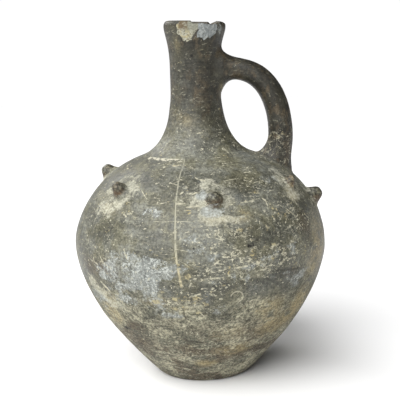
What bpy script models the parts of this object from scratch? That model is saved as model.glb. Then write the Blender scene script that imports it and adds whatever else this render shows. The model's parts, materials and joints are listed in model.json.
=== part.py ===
"""A grey burnished earthenware flask: a round belly on a small flat foot, a tall narrow neck,
one thick handle from the neck down to the shoulder, and a ring of pointed clay knobs.

Metres, +Z up. The origin is the middle of the foot, on the ground. The front faces -Y and the
handle stands out towards +X. The flask is one piece of fired clay, hollow and open at the mouth.

The wall's outline runs through the foot and five knots: lower wall, belly, shoulder, neck and
lip. Each stands its own rise above the one below, and the whole height is their sum, so any of
them can be changed by itself. The neck leans over a little, as the handle pulled it while the
clay was soft.
"""

import math

import bmesh
import bpy
from mathutils import Matrix, Vector

# The outside of the turned body. A rise is how far a knot stands above the one below, and a
# lean is the slope of the wall away from upright.
FOOT_RADIUS = 0.0395
FOOT_ROUNDING = 0.003
LOWER_RADIUS = 0.0678
LOWER_RISE = 0.0300
LOWER_LEAN = math.radians(42)
BELLY_RADIUS = 0.1078
BELLY_RISE = 0.0879
SHOULDER_RADIUS = 0.050
SHOULDER_RISE = 0.0702
SHOULDER_LEAN = math.radians(71)
NECK_RADIUS = 0.0211
NECK_RISE = 0.0669
LIP_RISE = 0.0415
LIP_FLARE = 0.0052
LIP_ROUNDING = 0.0035

# How far each run of the wall holds the direction it starts in and the one it ends in, as
# shares of the straight distance between its knots. The foot's rounding starts the first run.
LOWER_PULL = 0.42
BELLY_PULLS = (0.26, 0.33)
SHOULDER_PULLS = (0.18, 0.48)
NECK_PULLS = (0.36, 0.44)
LIP_PULLS = (0.78, 0.21)

# The bend of the neck: the share of the whole height it starts at, how far the lip is turned by
# it, and the azimuth it leans towards.
BEND_START = 0.80
NECK_BEND = math.radians(3)
BEND_AZIMUTH = math.radians(110)

# How thick the clay is, and how round the corner is where the floor meets the wall inside.
WALL = 0.007
FLOOR = 0.009
FLOOR_ROUNDING = 0.0065

# The handle: an oval bar along a middle line from the neck, over a bend, down to its root. It
# leaves the neck along a slope, is thickest half-way, and has a fullness there over the even
# change from the thickness at the neck to the one at the root.
HANDLE_TOP_RISE = 0.0053
HANDLE_OUT_SLOPE = 0.075
HANDLE_REACH = 0.0711
HANDLE_BEND_RISE = 0.0215
HANDLE_ROOT_DROP = 0.007
HANDLE_ROOT_LEAN = math.radians(23)
HANDLE_ROOT_DEPTH = 0.020
HANDLE_OUT_PULLS = (0.55, 0.34)
HANDLE_DOWN_PULLS = (0.30, 0.40)
HANDLE_THICKNESS_NECK = 0.0164
HANDLE_THICKNESS_ROOT = 0.0184
HANDLE_FULLNESS = 0.0031
HANDLE_WIDTH = 0.024

# How much the handle swells on each side where it was pressed on, and how soon that fades.
NECK_SWELL = 0.0131
NECK_SWELL_FADE = 0.0046
ROOT_SWELL = 0.0079
ROOT_SWELL_FADE = 0.0095
SIDE_SWELL = 0.002

# The knobs stand in an uneven ring. Each has its own azimuth in degrees, from the front
# towards the handle, its own height in steps of KNOB_STRAY above the ring, and its own size.
KNOB_RADIUS = 0.0074
KNOB_TIP_RADIUS = 0.0040
KNOB_HEIGHT = 0.0092
KNOB_ROOT = 0.004
KNOB_RING_DROP = 0.022
KNOB_STRAY = 0.003
KNOBS = {
    "left": (-103, 1.85, 1.04),
    "front_left": (-50, 0.75, 1.0),
    "front": (7.3, -0.8, 1.0),
    "front_right": (62, 0.5, 0.85),
    "under_handle": (83, -5.0, 1.08),
    "back_right": (131, 0.3, 1.0),
    "back": (196, -0.4, 1.05),
}

# Old breaks in the lip: first and last azimuth in degrees, and the depth at the deepest. Both
# have the same ragged floor, in shares of that depth. It is above the lip at either end.
FRONT_CHIP_SPAN = (-13.5, 52)
FRONT_CHIP_DEPTH = 0.0025
BACK_CHIP_SPAN = (122, 147)
BACK_CHIP_DEPTH = 0.0036
CHIP_FLOOR = (-0.5, 0.55, 0.7, 0.6, 0.85, 1.0, 0.9, -0.5)

# How finely the shapes are faceted.
LATHE_STEPS = 48
RUN_POINTS = (5, 6, 6, 5, 4)
LIP_POINTS = 3
HANDLE_RINGS = 13
HANDLE_CROWDING = 1.4
ROOT_RINGS = 5
HANDLE_SIDES = 16
KNOB_SIDES = 12
SHARP_ANGLE = math.radians(35)

# Heights that everything else is placed from. The whole height is the one before the bend.
LOWER_Z = LOWER_RISE
BELLY_Z = LOWER_Z + BELLY_RISE
SHOULDER_Z = BELLY_Z + SHOULDER_RISE
NECK_Z = SHOULDER_Z + NECK_RISE
LIP_Z = NECK_Z + LIP_RISE
HEIGHT = LIP_Z + LIP_ROUNDING
BEND_Z = HEIGHT * BEND_START


def smooth_run(start, start_way, end, end_way, pulls, count, crowding=1.0):
    """Points of a smooth run from start to end, without the start. Each pull is a share of the
    straight distance and says how far the run holds that end's direction. A crowding over 1
    sets the first points closer together."""
    chord = (end - start).length
    first = start + start_way.normalized() * chord * pulls[0]
    last = end - end_way.normalized() * chord * pulls[1]
    points = []
    for step in range(1, count + 1):
        t = (step / count) ** crowding
        u = 1 - t
        points.append(u**3 * start + 3 * u * u * t * first + 3 * u * t * t * last + t**3 * end)
    return points


def wall_run(wall, floor, rounding):
    """(radius, height) points from the foot's edge up to the lip, one wall further in and with
    the foot at the height of the floor."""
    start = Vector((FOOT_RADIUS - wall, floor))
    start_way = Vector((1, 0))
    outline = [
        (LOWER_RADIUS, LOWER_Z, LOWER_LEAN, None),
        (BELLY_RADIUS, BELLY_Z, 0, BELLY_PULLS),
        (SHOULDER_RADIUS, SHOULDER_Z, -SHOULDER_LEAN, SHOULDER_PULLS),
        (NECK_RADIUS, NECK_Z, 0, NECK_PULLS),
        (NECK_RADIUS + LIP_FLARE, LIP_Z, 0, LIP_PULLS),
    ]
    points = [start]
    for (radius, height, lean, pulls), count in zip(outline, RUN_POINTS):
        way = Vector((math.sin(lean), math.cos(lean)))
        end = Vector((radius, height)) + Vector((-way.y, way.x)) * wall
        if pulls is None:
            pulls = (rounding / (end - start).length, LOWER_PULL)
        points += smooth_run(start, start_way, end, way, pulls, count)
        start, start_way = end, way
    return points


def outer_wall():
    return wall_run(0, 0, FOOT_ROUNDING)


def on_shoulder(height):
    """The wall's outer radius at a height above the belly, and its outward direction there."""
    run = [point for point in outer_wall() if point.y >= BELLY_Z]
    for low, high in zip(run, run[1:]):
        if high.y >= height:
            break
    share = (height - low.y) / (high.y - low.y)
    way = (high - low).normalized()
    return low.x + share * (high.x - low.x), Vector((way.y, -way.x))


def lip_arc(side):
    """Steps of a quarter circle from the lip's side towards its top: how far across, towards
    the middle of the lip's thickness, and how far up."""
    steps = []
    for step in range(1, LIP_POINTS + 1):
        angle = math.pi / 2 * step / LIP_POINTS
        across = side * LIP_ROUNDING * (1 - math.cos(angle))
        steps.append(Vector((across, LIP_ROUNDING * math.sin(angle))))
    return steps


def mesh_object(name, bm):
    mesh = bpy.data.meshes.new(name)
    bmesh.ops.recalc_face_normals(bm, faces=bm.faces)
    bm.to_mesh(mesh)
    bm.free()
    obj = bpy.data.objects.new(name, mesh)
    bpy.context.scene.collection.objects.link(obj)
    return obj


def turned(name, profile, steps):
    """A body of revolution about Z. The profile runs from its top down the outer side."""
    bm = bmesh.new()
    verts = [bm.verts.new((radius, 0, height)) for radius, height in profile]
    for upper, lower in zip(verts, verts[1:]):
        bm.edges.new((upper, lower))
    obj = mesh_object(name, bm)
    screw = obj.modifiers.new("Turn", "SCREW")
    screw.steps = steps
    screw.render_steps = steps
    screw.use_merge_vertices = True
    screw.merge_threshold = 0.00001
    return obj


def lofted(name, sections):
    """A closed body through sections that have the same number of points."""
    bm = bmesh.new()
    rings = [[bm.verts.new(point) for point in section] for section in sections]
    bm.faces.new(rings[0])
    bm.faces.new(rings[-1])
    for near, far in zip(rings, rings[1:]):
        for index in range(len(near)):
            after = (index + 1) % len(near)
            bm.faces.new((near[index], near[after], far[after], far[index]))
    return mesh_object(name, bm)


def baked(obj):
    """Turns an object's modifiers into its own mesh."""
    graph = bpy.context.evaluated_depsgraph_get()
    mesh = bpy.data.meshes.new_from_object(obj.evaluated_get(graph))
    mesh.name = obj.name
    obj.modifiers.clear()
    obj.data = mesh
    return obj


def bent(obj):
    """Leans an object over with the neck, further the higher each point is above the bend."""
    way = Vector((math.sin(BEND_AZIMUTH), -math.cos(BEND_AZIMUTH), 0))
    for vert in obj.data.vertices:
        share = max(vert.co.z - BEND_Z, 0) / (HEIGHT - BEND_Z)
        turn = NECK_BEND * share
        drop = vert.co.dot(way) * math.sin(turn)
        vert.co += way * (vert.co.z - BEND_Z) * turn / 2
        vert.co.z -= drop
    return obj


def clay_body():
    """The outside of belly, neck and lip, still full of clay."""
    run = outer_wall()
    lip = [run[-1] + step for step in lip_arc(-1)]
    outline = [Vector((0, HEIGHT))] + lip[::-1] + run[::-1] + [Vector((0, 0))]
    return bent(baked(turned("flask", outline, LATHE_STEPS)))


def hollow():
    """The space inside, one wall in from the outside, opening out over the lip."""
    run = wall_run(WALL, FLOOR, FLOOR_ROUNDING)
    lip = [run[-1] + step for step in lip_arc(1)[:-1]]
    above = lip[-1] + (lip[-1] - run[-1])
    outline = [Vector((0, above.y)), above] + lip[::-1] + run[::-1] + [Vector((0, FLOOR))]
    return bent(baked(turned("hollow", outline, LATHE_STEPS)))


def handle_line():
    """The handle's middle line in the XZ plane, from the neck's middle to inside the shoulder,
    and for each point its length along the line past the neck and before the root."""
    root_z = SHOULDER_Z - HANDLE_ROOT_DROP
    neck = Vector((NECK_RADIUS, NECK_Z + HANDLE_TOP_RISE))
    bend = Vector((HANDLE_REACH, root_z + HANDLE_BEND_RISE))
    root = Vector((on_shoulder(root_z)[0], root_z))
    out = Vector((1, HANDLE_OUT_SLOPE))
    down = Vector((0, -1))
    inwards = Vector((-math.sin(HANDLE_ROOT_LEAN), -math.cos(HANDLE_ROOT_LEAN)))
    line = [Vector((0, neck.y)), neck]
    line += smooth_run(neck, out, bend, down, HANDLE_OUT_PULLS, HANDLE_RINGS, HANDLE_CROWDING)
    line += smooth_run(bend, down, root, inwards, HANDLE_DOWN_PULLS, ROOT_RINGS)
    line.append(root + inwards * HANDLE_ROOT_DEPTH)
    along = [0.0]
    for last, point in zip(line, line[1:]):
        along.append(along[-1] + (point - last).length)
    past_neck = [max(length - along[1], 0.0) for length in along]
    before_root = [max(along[-2] - length, 0.0) for length in along]
    return line, past_neck, before_root


def handle():
    """The oval bar, swelling at both ends. Its ends run on into the clay that gets hollowed."""
    line, past_neck, before_root = handle_line()
    sections = []
    for index, point in enumerate(line):
        before = line[max(index - 1, 0)]
        after = line[min(index + 1, len(line) - 1)]
        way = (after - before).normalized()
        across = Vector((-way.y, way.x))
        share = past_neck[index] / (past_neck[index] + before_root[index])
        thickness = HANDLE_THICKNESS_NECK * (1 - share) + HANDLE_THICKNESS_ROOT * share
        thickness += HANDLE_FULLNESS * 4 * share * (1 - share)
        at_neck = math.exp(-past_neck[index] / NECK_SWELL_FADE)
        at_root = math.exp(-before_root[index] / ROOT_SWELL_FADE)
        high = thickness / 2 + NECK_SWELL * at_neck + ROOT_SWELL * at_root
        wide = HANDLE_WIDTH / 2 + SIDE_SWELL * (at_neck + at_root)
        section = []
        for side in range(HANDLE_SIDES):
            angle = math.tau * side / HANDLE_SIDES
            spot = point + across * high * math.cos(angle)
            section.append((spot.x, wide * math.sin(angle), spot.y))
        sections.append(section)
    return lofted("handle", sections)


def knob(name, azimuth, height, size):
    """A blunt clay point pressed on at right angles to the shoulder."""
    profile = [
        (0, KNOB_HEIGHT),
        (KNOB_TIP_RADIUS * 0.65, KNOB_HEIGHT - KNOB_TIP_RADIUS * 0.2),
        (KNOB_TIP_RADIUS, KNOB_HEIGHT - KNOB_TIP_RADIUS * 0.7),
        ((KNOB_TIP_RADIUS + KNOB_RADIUS) / 2, KNOB_HEIGHT * 0.3),
        (KNOB_RADIUS, 0),
        (KNOB_RADIUS, -KNOB_ROOT),
        (0, -KNOB_ROOT),
    ]
    profile = [(radius * size, rise * size) for radius, rise in profile]
    obj = turned("knob_" + name, profile, KNOB_SIDES)
    radius, outwards = on_shoulder(height)
    lean = math.atan2(outwards.x, outwards.y)
    place = Matrix.Rotation(azimuth, 4, "Z") @ Matrix.Translation((0, -radius, height))
    obj.matrix_world = place @ Matrix.Rotation(lean, 4, "X")
    return obj


def lip_chip(name, span, depth):
    """A ragged bite out of the lip, shallow at its first side and steep at its last."""
    inner = (NECK_RADIUS - WALL) / 2
    outer = NECK_RADIUS + LIP_FLARE * 2
    high = HEIGHT + depth * 2
    sections = []
    for index, bite in enumerate(CHIP_FLOOR):
        share = index / (len(CHIP_FLOOR) - 1)
        azimuth = math.radians(span[0] + (span[1] - span[0]) * share)
        turn = Matrix.Rotation(azimuth, 4, "Z")
        low = HEIGHT - depth * bite
        corners = [(inner, low), (outer, low), (outer, high), (inner, high)]
        sections.append([turn @ Vector((0, -radius, height)) for radius, height in corners])
    return bent(lofted(name, sections))


def combine(obj, other, operation):
    """Joins another shape to an object, or cuts it away, and keeps that shape as a guide."""
    other.hide_render = True
    other.display_type = "WIRE"
    boolean = obj.modifiers.new(other.name, "BOOLEAN")
    boolean.operation = operation
    boolean.solver = "EXACT"
    boolean.object = other


def settle(obj):
    """Bakes an object's modifiers and shades it smooth but for real corners."""
    mesh = baked(obj).data
    mesh.shade_smooth()
    mesh.set_sharp_from_angle(angle=SHARP_ANGLE)


def burnished_clay():
    clay = bpy.data.materials.new("burnished_clay")
    clay.use_nodes = True
    shader = clay.node_tree.nodes["Principled BSDF"]
    shader.inputs["Base Color"].default_value = (0.090, 0.082, 0.066, 1)
    shader.inputs["Roughness"].default_value = 0.55
    shader.inputs["Metallic"].default_value = 0.0
    return clay


def main():
    for obj in list(bpy.data.objects):
        bpy.data.objects.remove(obj)
    flask = clay_body()
    combine(flask, lip_chip("front_chip", FRONT_CHIP_SPAN, FRONT_CHIP_DEPTH), "DIFFERENCE")
    combine(flask, lip_chip("back_chip", BACK_CHIP_SPAN, BACK_CHIP_DEPTH), "DIFFERENCE")
    combine(flask, handle(), "UNION")
    for name, (azimuth, stray, size) in KNOBS.items():
        height = SHOULDER_Z - KNOB_RING_DROP + stray * KNOB_STRAY
        combine(flask, knob(name, math.radians(azimuth), height, size), "UNION")
    combine(flask, hollow(), "DIFFERENCE")
    settle(flask)
    flask.data.materials.clear()
    flask.data.materials.append(burnished_clay())


main()
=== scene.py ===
# %% [markdown]
# # A grey burnished flask, step by step
# The flask is one piece of fired clay: a round belly on a small flat foot, a tall narrow neck, a
# handle from the neck down to the shoulder, and a ring of pointed knobs. It was thrown, rubbed
# shiny with a smooth stone before firing, and then lay in the ground for a very long time.
#
# We build it the way the potter did. First the wall is turned, then the handle and the knobs are
# pressed on and smoothed over, then the inside is hollowed, and last come the breaks, the wear
# and the earth that stuck to it. Lengths are in metres, +Z is up, and the front faces -Y.

# %% Load the frame
import json
import math

import bmesh
import bpy
import numpy as np
from mathutils import Matrix, Vector, noise

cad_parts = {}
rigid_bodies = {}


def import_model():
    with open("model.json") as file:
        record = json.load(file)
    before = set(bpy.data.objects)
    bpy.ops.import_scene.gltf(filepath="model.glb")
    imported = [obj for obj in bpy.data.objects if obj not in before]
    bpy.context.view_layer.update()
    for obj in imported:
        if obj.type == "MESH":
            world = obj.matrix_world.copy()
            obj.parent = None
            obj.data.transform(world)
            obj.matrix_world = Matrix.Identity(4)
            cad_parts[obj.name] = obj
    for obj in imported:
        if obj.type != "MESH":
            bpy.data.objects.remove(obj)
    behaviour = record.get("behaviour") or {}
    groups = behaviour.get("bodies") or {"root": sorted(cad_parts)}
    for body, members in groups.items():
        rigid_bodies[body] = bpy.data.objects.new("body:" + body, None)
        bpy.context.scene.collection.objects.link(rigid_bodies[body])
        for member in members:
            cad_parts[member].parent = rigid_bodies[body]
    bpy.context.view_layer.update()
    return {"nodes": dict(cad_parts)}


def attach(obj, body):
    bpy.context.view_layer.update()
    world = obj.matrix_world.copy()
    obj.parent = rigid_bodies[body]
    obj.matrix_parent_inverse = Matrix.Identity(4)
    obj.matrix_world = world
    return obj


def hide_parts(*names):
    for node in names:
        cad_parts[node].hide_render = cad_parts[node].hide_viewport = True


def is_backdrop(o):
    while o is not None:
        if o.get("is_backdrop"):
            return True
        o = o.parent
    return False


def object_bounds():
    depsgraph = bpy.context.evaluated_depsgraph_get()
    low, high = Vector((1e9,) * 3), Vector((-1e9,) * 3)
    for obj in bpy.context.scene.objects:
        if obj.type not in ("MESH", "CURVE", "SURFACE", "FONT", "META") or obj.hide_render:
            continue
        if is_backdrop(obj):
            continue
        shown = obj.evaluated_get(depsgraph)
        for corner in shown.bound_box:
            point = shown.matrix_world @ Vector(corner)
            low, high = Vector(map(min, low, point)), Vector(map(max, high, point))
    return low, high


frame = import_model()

print("frame nodes:", sorted(frame["nodes"]))

# %% [markdown]
# ## The wall
# A turned pot has one outline, swung round its middle. We draw that outline as a few smooth runs
# between knots: foot, lower wall, belly, shoulder, neck and lip. Each run is a curve with a pull
# at either end, so two numbers say how full it is. Drawing it by hand with a curve object would
# work too, but numbers can be checked against the solid in the frame, which has the same knots.

# %% The outline's knots
HEIGHT = 0.300
LIP_ROUNDING = 0.0035
FOOT_ROUNDING = 0.003
HOLLOW_ROUNDING = 0.0065
FOOT_RADIUS = 0.0395
WALL = 0.007
FLOOR = 0.009
# (radius, height, lean from upright in degrees, pulls at either end, points)
OUTER_KNOTS = [
    (0.0678, 0.0300, 42, (None, 0.42), 14),
    (0.1078, 0.1179, 0, (0.26, 0.33), 40),
    (0.0500, 0.1881, -71, (0.18, 0.48), 38),
    (0.0211, 0.2550, 0, (0.36, 0.44), 30),
    (0.0263, HEIGHT - LIP_ROUNDING, 0, (0.78, 0.21), 18),
]


def smooth_run(start, start_way, end, end_way, pulls, count):
    """Points of a smooth run between two knots, without the first."""
    chord = (end - start).length
    first = start + start_way.normalized() * chord * pulls[0]
    last = end - end_way.normalized() * chord * pulls[1]
    points = []
    for step in range(1, count + 1):
        t = step / count
        u = 1 - t
        points.append(u**3 * start + 3 * u * u * t * first + 3 * u * t * t * last + t**3 * end)
    return points


def wall_run(wall, floor, rounding):
    """(radius, height) points of the wall from the foot to the lip, one wall further in."""
    start, start_way = Vector((FOOT_RADIUS - wall, floor)), Vector((1, 0))
    points = [start]
    for radius, height, lean, (pull, next_pull), count in OUTER_KNOTS:
        way = Vector((math.sin(math.radians(lean)), math.cos(math.radians(lean))))
        end = Vector((radius, height)) + Vector((-way.y, way.x)) * wall
        if pull is None:
            pull = rounding / (end - start).length
        points += smooth_run(start, start_way, end, way, (pull, next_pull), count)
        start, start_way = end, way
    return points


outer_run = wall_run(0, 0, FOOT_ROUNDING)
inner_run = wall_run(WALL, FLOOR, HOLLOW_ROUNDING)
print("outline points:", len(outer_run), "outside,", len(inner_run), "inside")

# %% [markdown]
# The potter's hand is a lathe, and so is this Geometry Nodes tree. It takes an outline as a line of
# points, lays a grid beside it with one row for each point, and wraps the grid round the axis. The
# same tree turns the outside and, later, the hollow, so the two always match. A Screw modifier
# would turn it as well, but a tree has its inputs by name and closes its own seam.

# %% A turning tree
def add_node(tree, kind, values=None, **settings):
    """A node with its settings, and its inputs set by name or number."""
    made = tree.nodes.new(kind)
    for name, value in settings.items():
        setattr(made, name, value)
    for name, value in (values or {}).items():
        made.inputs[name].default_value = value
    return made


def new_tree(name, sockets):
    """A Geometry Nodes tree with a geometry in and out and the named inputs."""
    tree = bpy.data.node_groups.new(name, "GeometryNodeTree")
    tree.interface.new_socket("Geometry", in_out="INPUT", socket_type="NodeSocketGeometry")
    for label, kind in sockets.items():
        tree.interface.new_socket(label, in_out="INPUT", socket_type=kind)
    tree.interface.new_socket("Geometry", in_out="OUTPUT", socket_type="NodeSocketGeometry")
    return tree, tree.nodes.new("NodeGroupInput"), tree.nodes.new("NodeGroupOutput")


def turning_tree():
    """The lathe: a line of points in, a closed skin of revolution out."""
    sockets = {"Steps": "NodeSocketInt", "Clay": "NodeSocketMaterial"}
    tree, given, result = new_tree("turn_round", sockets)
    join = tree.links.new
    rows = add_node(tree, "GeometryNodeAttributeDomainSize")
    join(given.outputs["Geometry"], rows.inputs[0])
    columns = add_node(tree, "ShaderNodeMath", {1: 1.0}, operation="ADD")
    join(given.outputs["Steps"], columns.inputs[0])
    grid = add_node(tree, "GeometryNodeMeshGrid", {"Size X": 1.0, "Size Y": 1.0})
    join(columns.outputs[0], grid.inputs["Vertices X"])
    join(rows.outputs["Point Count"], grid.inputs["Vertices Y"])
    place = add_node(tree, "ShaderNodeSeparateXYZ")
    join(add_node(tree, "GeometryNodeInputPosition").outputs[0], place.inputs[0])

    last = add_node(tree, "ShaderNodeMath", {1: 1.0}, operation="SUBTRACT")
    join(rows.outputs["Point Count"], last.inputs[0])
    upward = add_node(tree, "ShaderNodeMath", {1: 0.5}, operation="ADD")
    join(place.outputs["Y"], upward.inputs[0])
    row = add_node(tree, "ShaderNodeMath", operation="MULTIPLY")
    join(upward.outputs[0], row.inputs[0])
    join(last.outputs[0], row.inputs[1])
    nearest = add_node(tree, "ShaderNodeMath", operation="ROUND")
    join(row.outputs[0], nearest.inputs[0])
    outline = add_node(tree, "GeometryNodeSampleIndex", data_type="FLOAT_VECTOR")
    join(given.outputs["Geometry"], outline.inputs["Geometry"])
    join(add_node(tree, "GeometryNodeInputPosition").outputs[0], outline.inputs["Value"])
    join(nearest.outputs[0], outline.inputs["Index"])
    spot = add_node(tree, "ShaderNodeSeparateXYZ")
    join(outline.outputs["Value"], spot.inputs[0])

    angle = add_node(tree, "ShaderNodeMath", {1: math.tau}, operation="MULTIPLY")
    join(place.outputs["X"], angle.inputs[0])
    turned = add_node(tree, "ShaderNodeCombineXYZ")
    for way, axis in (("COSINE", "X"), ("SINE", "Y")):
        share = add_node(tree, "ShaderNodeMath", operation=way)
        join(angle.outputs[0], share.inputs[0])
        across = add_node(tree, "ShaderNodeMath", operation="MULTIPLY")
        join(share.outputs[0], across.inputs[0])
        join(spot.outputs["X"], across.inputs[1])
        join(across.outputs[0], turned.inputs[axis])
    join(spot.outputs["Z"], turned.inputs["Z"])

    placed = add_node(tree, "GeometryNodeSetPosition")
    join(grid.outputs["Mesh"], placed.inputs["Geometry"])
    join(turned.outputs[0], placed.inputs["Position"])
    closed = add_node(tree, "GeometryNodeMergeByDistance", {"Distance": 0.00001})
    join(placed.outputs[0], closed.inputs["Geometry"])
    whole = add_node(tree, "GeometryNodeRealizeInstances")
    join(closed.outputs[0], whole.inputs[0])
    clad = add_node(tree, "GeometryNodeSetMaterial")
    join(whole.outputs[0], clad.inputs["Geometry"])
    join(given.outputs["Clay"], clad.inputs["Material"])
    join(clad.outputs[0], result.inputs[0])
    return tree


turn_round = turning_tree()
clay = bpy.data.materials.new("burnished_clay")
print("turning tree with", len(turn_round.nodes), "nodes")

# %% Turn the outside and the hollow
def line_of(name, points):
    """A mesh that is only a line of points, standing in the XZ plane."""
    mesh = bpy.data.meshes.new(name)
    steps = [(i, i + 1) for i in range(len(points) - 1)]
    mesh.from_pydata([(x, 0, z) for x, z in points], steps, [])
    obj = bpy.data.objects.new(name, mesh)
    bpy.context.scene.collection.objects.link(obj)
    return obj


def run_tree(obj, tree, inputs):
    """Puts the tree on the object, gives it its inputs and turns the result into plain mesh."""
    modifier = obj.modifiers.new(tree.name, "NODES")
    modifier.node_group = tree
    for item in tree.interface.items_tree:
        if item.item_type == "SOCKET" and item.in_out == "INPUT" and item.name in inputs:
            modifier[item.identifier] = inputs[item.name]
    return settle(obj)


def settle(obj):
    """Bakes an object's modifiers into its own mesh."""
    graph = bpy.context.evaluated_depsgraph_get()
    mesh = bpy.data.meshes.new_from_object(obj.evaluated_get(graph))
    obj.modifiers.clear()
    obj.data = mesh
    return obj


def face_outwards(obj):
    """Closes the seams of a skin and turns all its faces outwards."""
    bm = bmesh.new()
    bm.from_mesh(obj.data)
    bmesh.ops.remove_doubles(bm, verts=bm.verts, dist=0.000005)
    bmesh.ops.recalc_face_normals(bm, faces=bm.faces)
    bm.to_mesh(obj.data)
    bm.free()
    return obj


def turned_piece(name, outline, steps):
    """A closed skin turned from an outline, with so many steps round."""
    line = line_of(name, outline)
    return face_outwards(run_tree(line, turn_round, {"Steps": steps, "Clay": clay}))


def lip_arc(side, steps=6):
    """A quarter circle from the lip's side up to its top."""
    arc = []
    for step in range(1, steps + 1):
        angle = math.pi / 2 * step / steps
        aside, up = 1 - math.cos(angle), math.sin(angle)
        arc.append(Vector((side * LIP_ROUNDING * aside, LIP_ROUNDING * up)))
    return arc


outside_lip = [outer_run[-1] + s for s in lip_arc(-1)]
outside_line = [Vector((0, 0))] + outer_run + outside_lip + [Vector((0, HEIGHT))]
inside_lip = [inner_run[-1] + s for s in lip_arc(1)[:-1]]
above_lip = inside_lip[-1] + (inside_lip[-1] - inner_run[-1])
inside_line = [Vector((0, FLOOR))] + inner_run + inside_lip + [above_lip, Vector((0, above_lip.y))]
body = turned_piece("flask_detail", outside_line, 160)
hollow = turned_piece("hollow", inside_line[::2] + inside_line[-1:], 72)
print("turned body:", len(body.data.polygons), "faces, hollow:", len(hollow.data.polygons))

# %% [markdown]
# While the clay was soft, the weight of the handle pulled the neck over a little. So every point
# above the bend is leaned towards the handle and slightly back, and the mouth tips with it.

# %% Lean the neck
BEND_Z = 0.8 * HEIGHT
NECK_BEND = math.radians(3)
BEND_AZIMUTH = math.radians(110)


def points_of(obj):
    """The places of all points of a mesh, one row each."""
    flat = np.empty(len(obj.data.vertices) * 3, np.float32)
    obj.data.vertices.foreach_get("co", flat)
    return flat.reshape(-1, 3).astype(float)


def move_points(obj, points):
    """Puts the points of a mesh at new places."""
    obj.data.vertices.foreach_set("co", points.astype(np.float32).ravel())
    obj.data.update()


def leaned(points):
    """The points, leaned with the neck, further the higher each is above the bend."""
    way = np.array([math.sin(BEND_AZIMUTH), -math.cos(BEND_AZIMUTH), 0])
    rise = points[:, 2] - BEND_Z
    turn = NECK_BEND * np.maximum(rise, 0) / (HEIGHT - BEND_Z)
    moved = points + way * (rise * turn / 2)[:, None]
    moved[:, 2] = points[:, 2] - (points @ way) * np.sin(turn)
    return moved


for piece in (body, hollow):
    move_points(piece, leaned(points_of(piece)))
print("the lip now reaches", round(1000 * points_of(body)[:, 2].max(), 1), "mm")

# %% [markdown]
# ## The handle
# A handle like this is a rolled bar of clay, bent over and pressed on at both ends, so it is oval
# and swells where it meets the wall. We draw its middle line from the neck over the bend to the
# shoulder and set an oval ring at each point. A curve with a bevel is quicker, but it can't swell
# up and down more than sideways.

# %% The handle's middle line
HANDLE_ROOT = Vector((0.0653, 0.1811))
HANDLE_NECK = Vector((0.0211, 0.2603))
HANDLE_BEND = Vector((0.0711, 0.2026))
NECK_WAY = Vector((1, 0.075))
ROOT_LEAN = math.radians(23)
DOWN = Vector((0, -1))


def handle_line():
    """Points in the XZ plane, and how far along each lies past the neck and before the root."""
    inwards = Vector((-math.sin(ROOT_LEAN), -math.cos(ROOT_LEAN)))
    line = [Vector((0, HANDLE_NECK.y)), Vector((0.012, HANDLE_NECK.y)), HANDLE_NECK]
    line += smooth_run(HANDLE_NECK, NECK_WAY, HANDLE_BEND, DOWN, (0.55, 0.34), 40)
    line += smooth_run(HANDLE_BEND, DOWN, HANDLE_ROOT, inwards, (0.30, 0.40), 14)
    line += [HANDLE_ROOT + inwards * 0.008, HANDLE_ROOT + inwards * 0.020]
    along = np.concatenate([[0], np.cumsum([(b - a).length for a, b in zip(line, line[1:])])])
    return line, np.maximum(along - along[2], 0), np.maximum(along[-3] - along, 0)


bar_line, past_neck, before_root = handle_line()
print("handle is", round(1000 * past_neck[-3]), "mm long along its middle")

# %% Loft the bar
# (thickness of the bar, how much it swells at the joint, distance in which that fades)
NECK_END = (0.0164, 0.0131, 0.0046)
ROOT_END = (0.0184, 0.0079, 0.0095)
MIDDLE_BULGE = 0.0124
HALF_WIDTH = 0.012
SPREAD_AT_ENDS = 0.002


def lofted(name, rings):
    """A closed skin through rings that have the same number of points."""
    bm = bmesh.new()
    loops = [[bm.verts.new(point) for point in ring] for ring in rings]
    bm.faces.new(loops[0])
    bm.faces.new(loops[-1])
    for near, far in zip(loops, loops[1:]):
        for i in range(len(near)):
            j = (i + 1) % len(near)
            bm.faces.new((near[i], near[j], far[j], far[i]))
    mesh = bpy.data.meshes.new(name)
    bm.to_mesh(mesh)
    bm.free()
    obj = bpy.data.objects.new(name, mesh)
    bpy.context.scene.collection.objects.link(obj)
    return face_outwards(obj)


def oval_rings(sides=36):
    """An oval across the bar at each point of its line, higher where it meets the wall."""
    neck_thick, neck_swell, neck_fade = NECK_END
    root_thick, root_swell, root_fade = ROOT_END
    rings = []
    for i, point in enumerate(bar_line):
        way = (bar_line[min(i + 1, len(bar_line) - 1)] - bar_line[max(i - 1, 0)]).normalized()
        share = past_neck[i] / (past_neck[i] + before_root[i])
        at_neck = math.exp(-past_neck[i] / neck_fade)
        at_root = math.exp(-before_root[i] / root_fade)
        bulge = MIDDLE_BULGE * share * (1 - share)
        thick = neck_thick * (1 - share) + root_thick * share + bulge
        high = thick / 2 + neck_swell * at_neck + root_swell * at_root
        wide = HALF_WIDTH + SPREAD_AT_ENDS * (at_neck + at_root)
        ring = []
        for side in range(sides):
            angle = math.tau * side / sides
            spot = point + Vector((-way.y, way.x)) * high * math.cos(angle)
            ring.append((spot.x, wide * math.sin(angle), spot.y))
        rings.append(ring)
    return rings


bar = lofted("bar", oval_rings())
print("bar with", len(bar.data.polygons), "faces")

# %% [markdown]
# ## The knobs
# Seven blunt points of clay stand round the shoulder, none quite level with the next. The lathe
# tree turns one of them, and a second tree sets it on each mark round the pot, pointing straight
# out of the wall, at its own size. The marks are single points that carry the direction and the
# size as attributes, which is how Geometry Nodes likes to be told such things.

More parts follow.
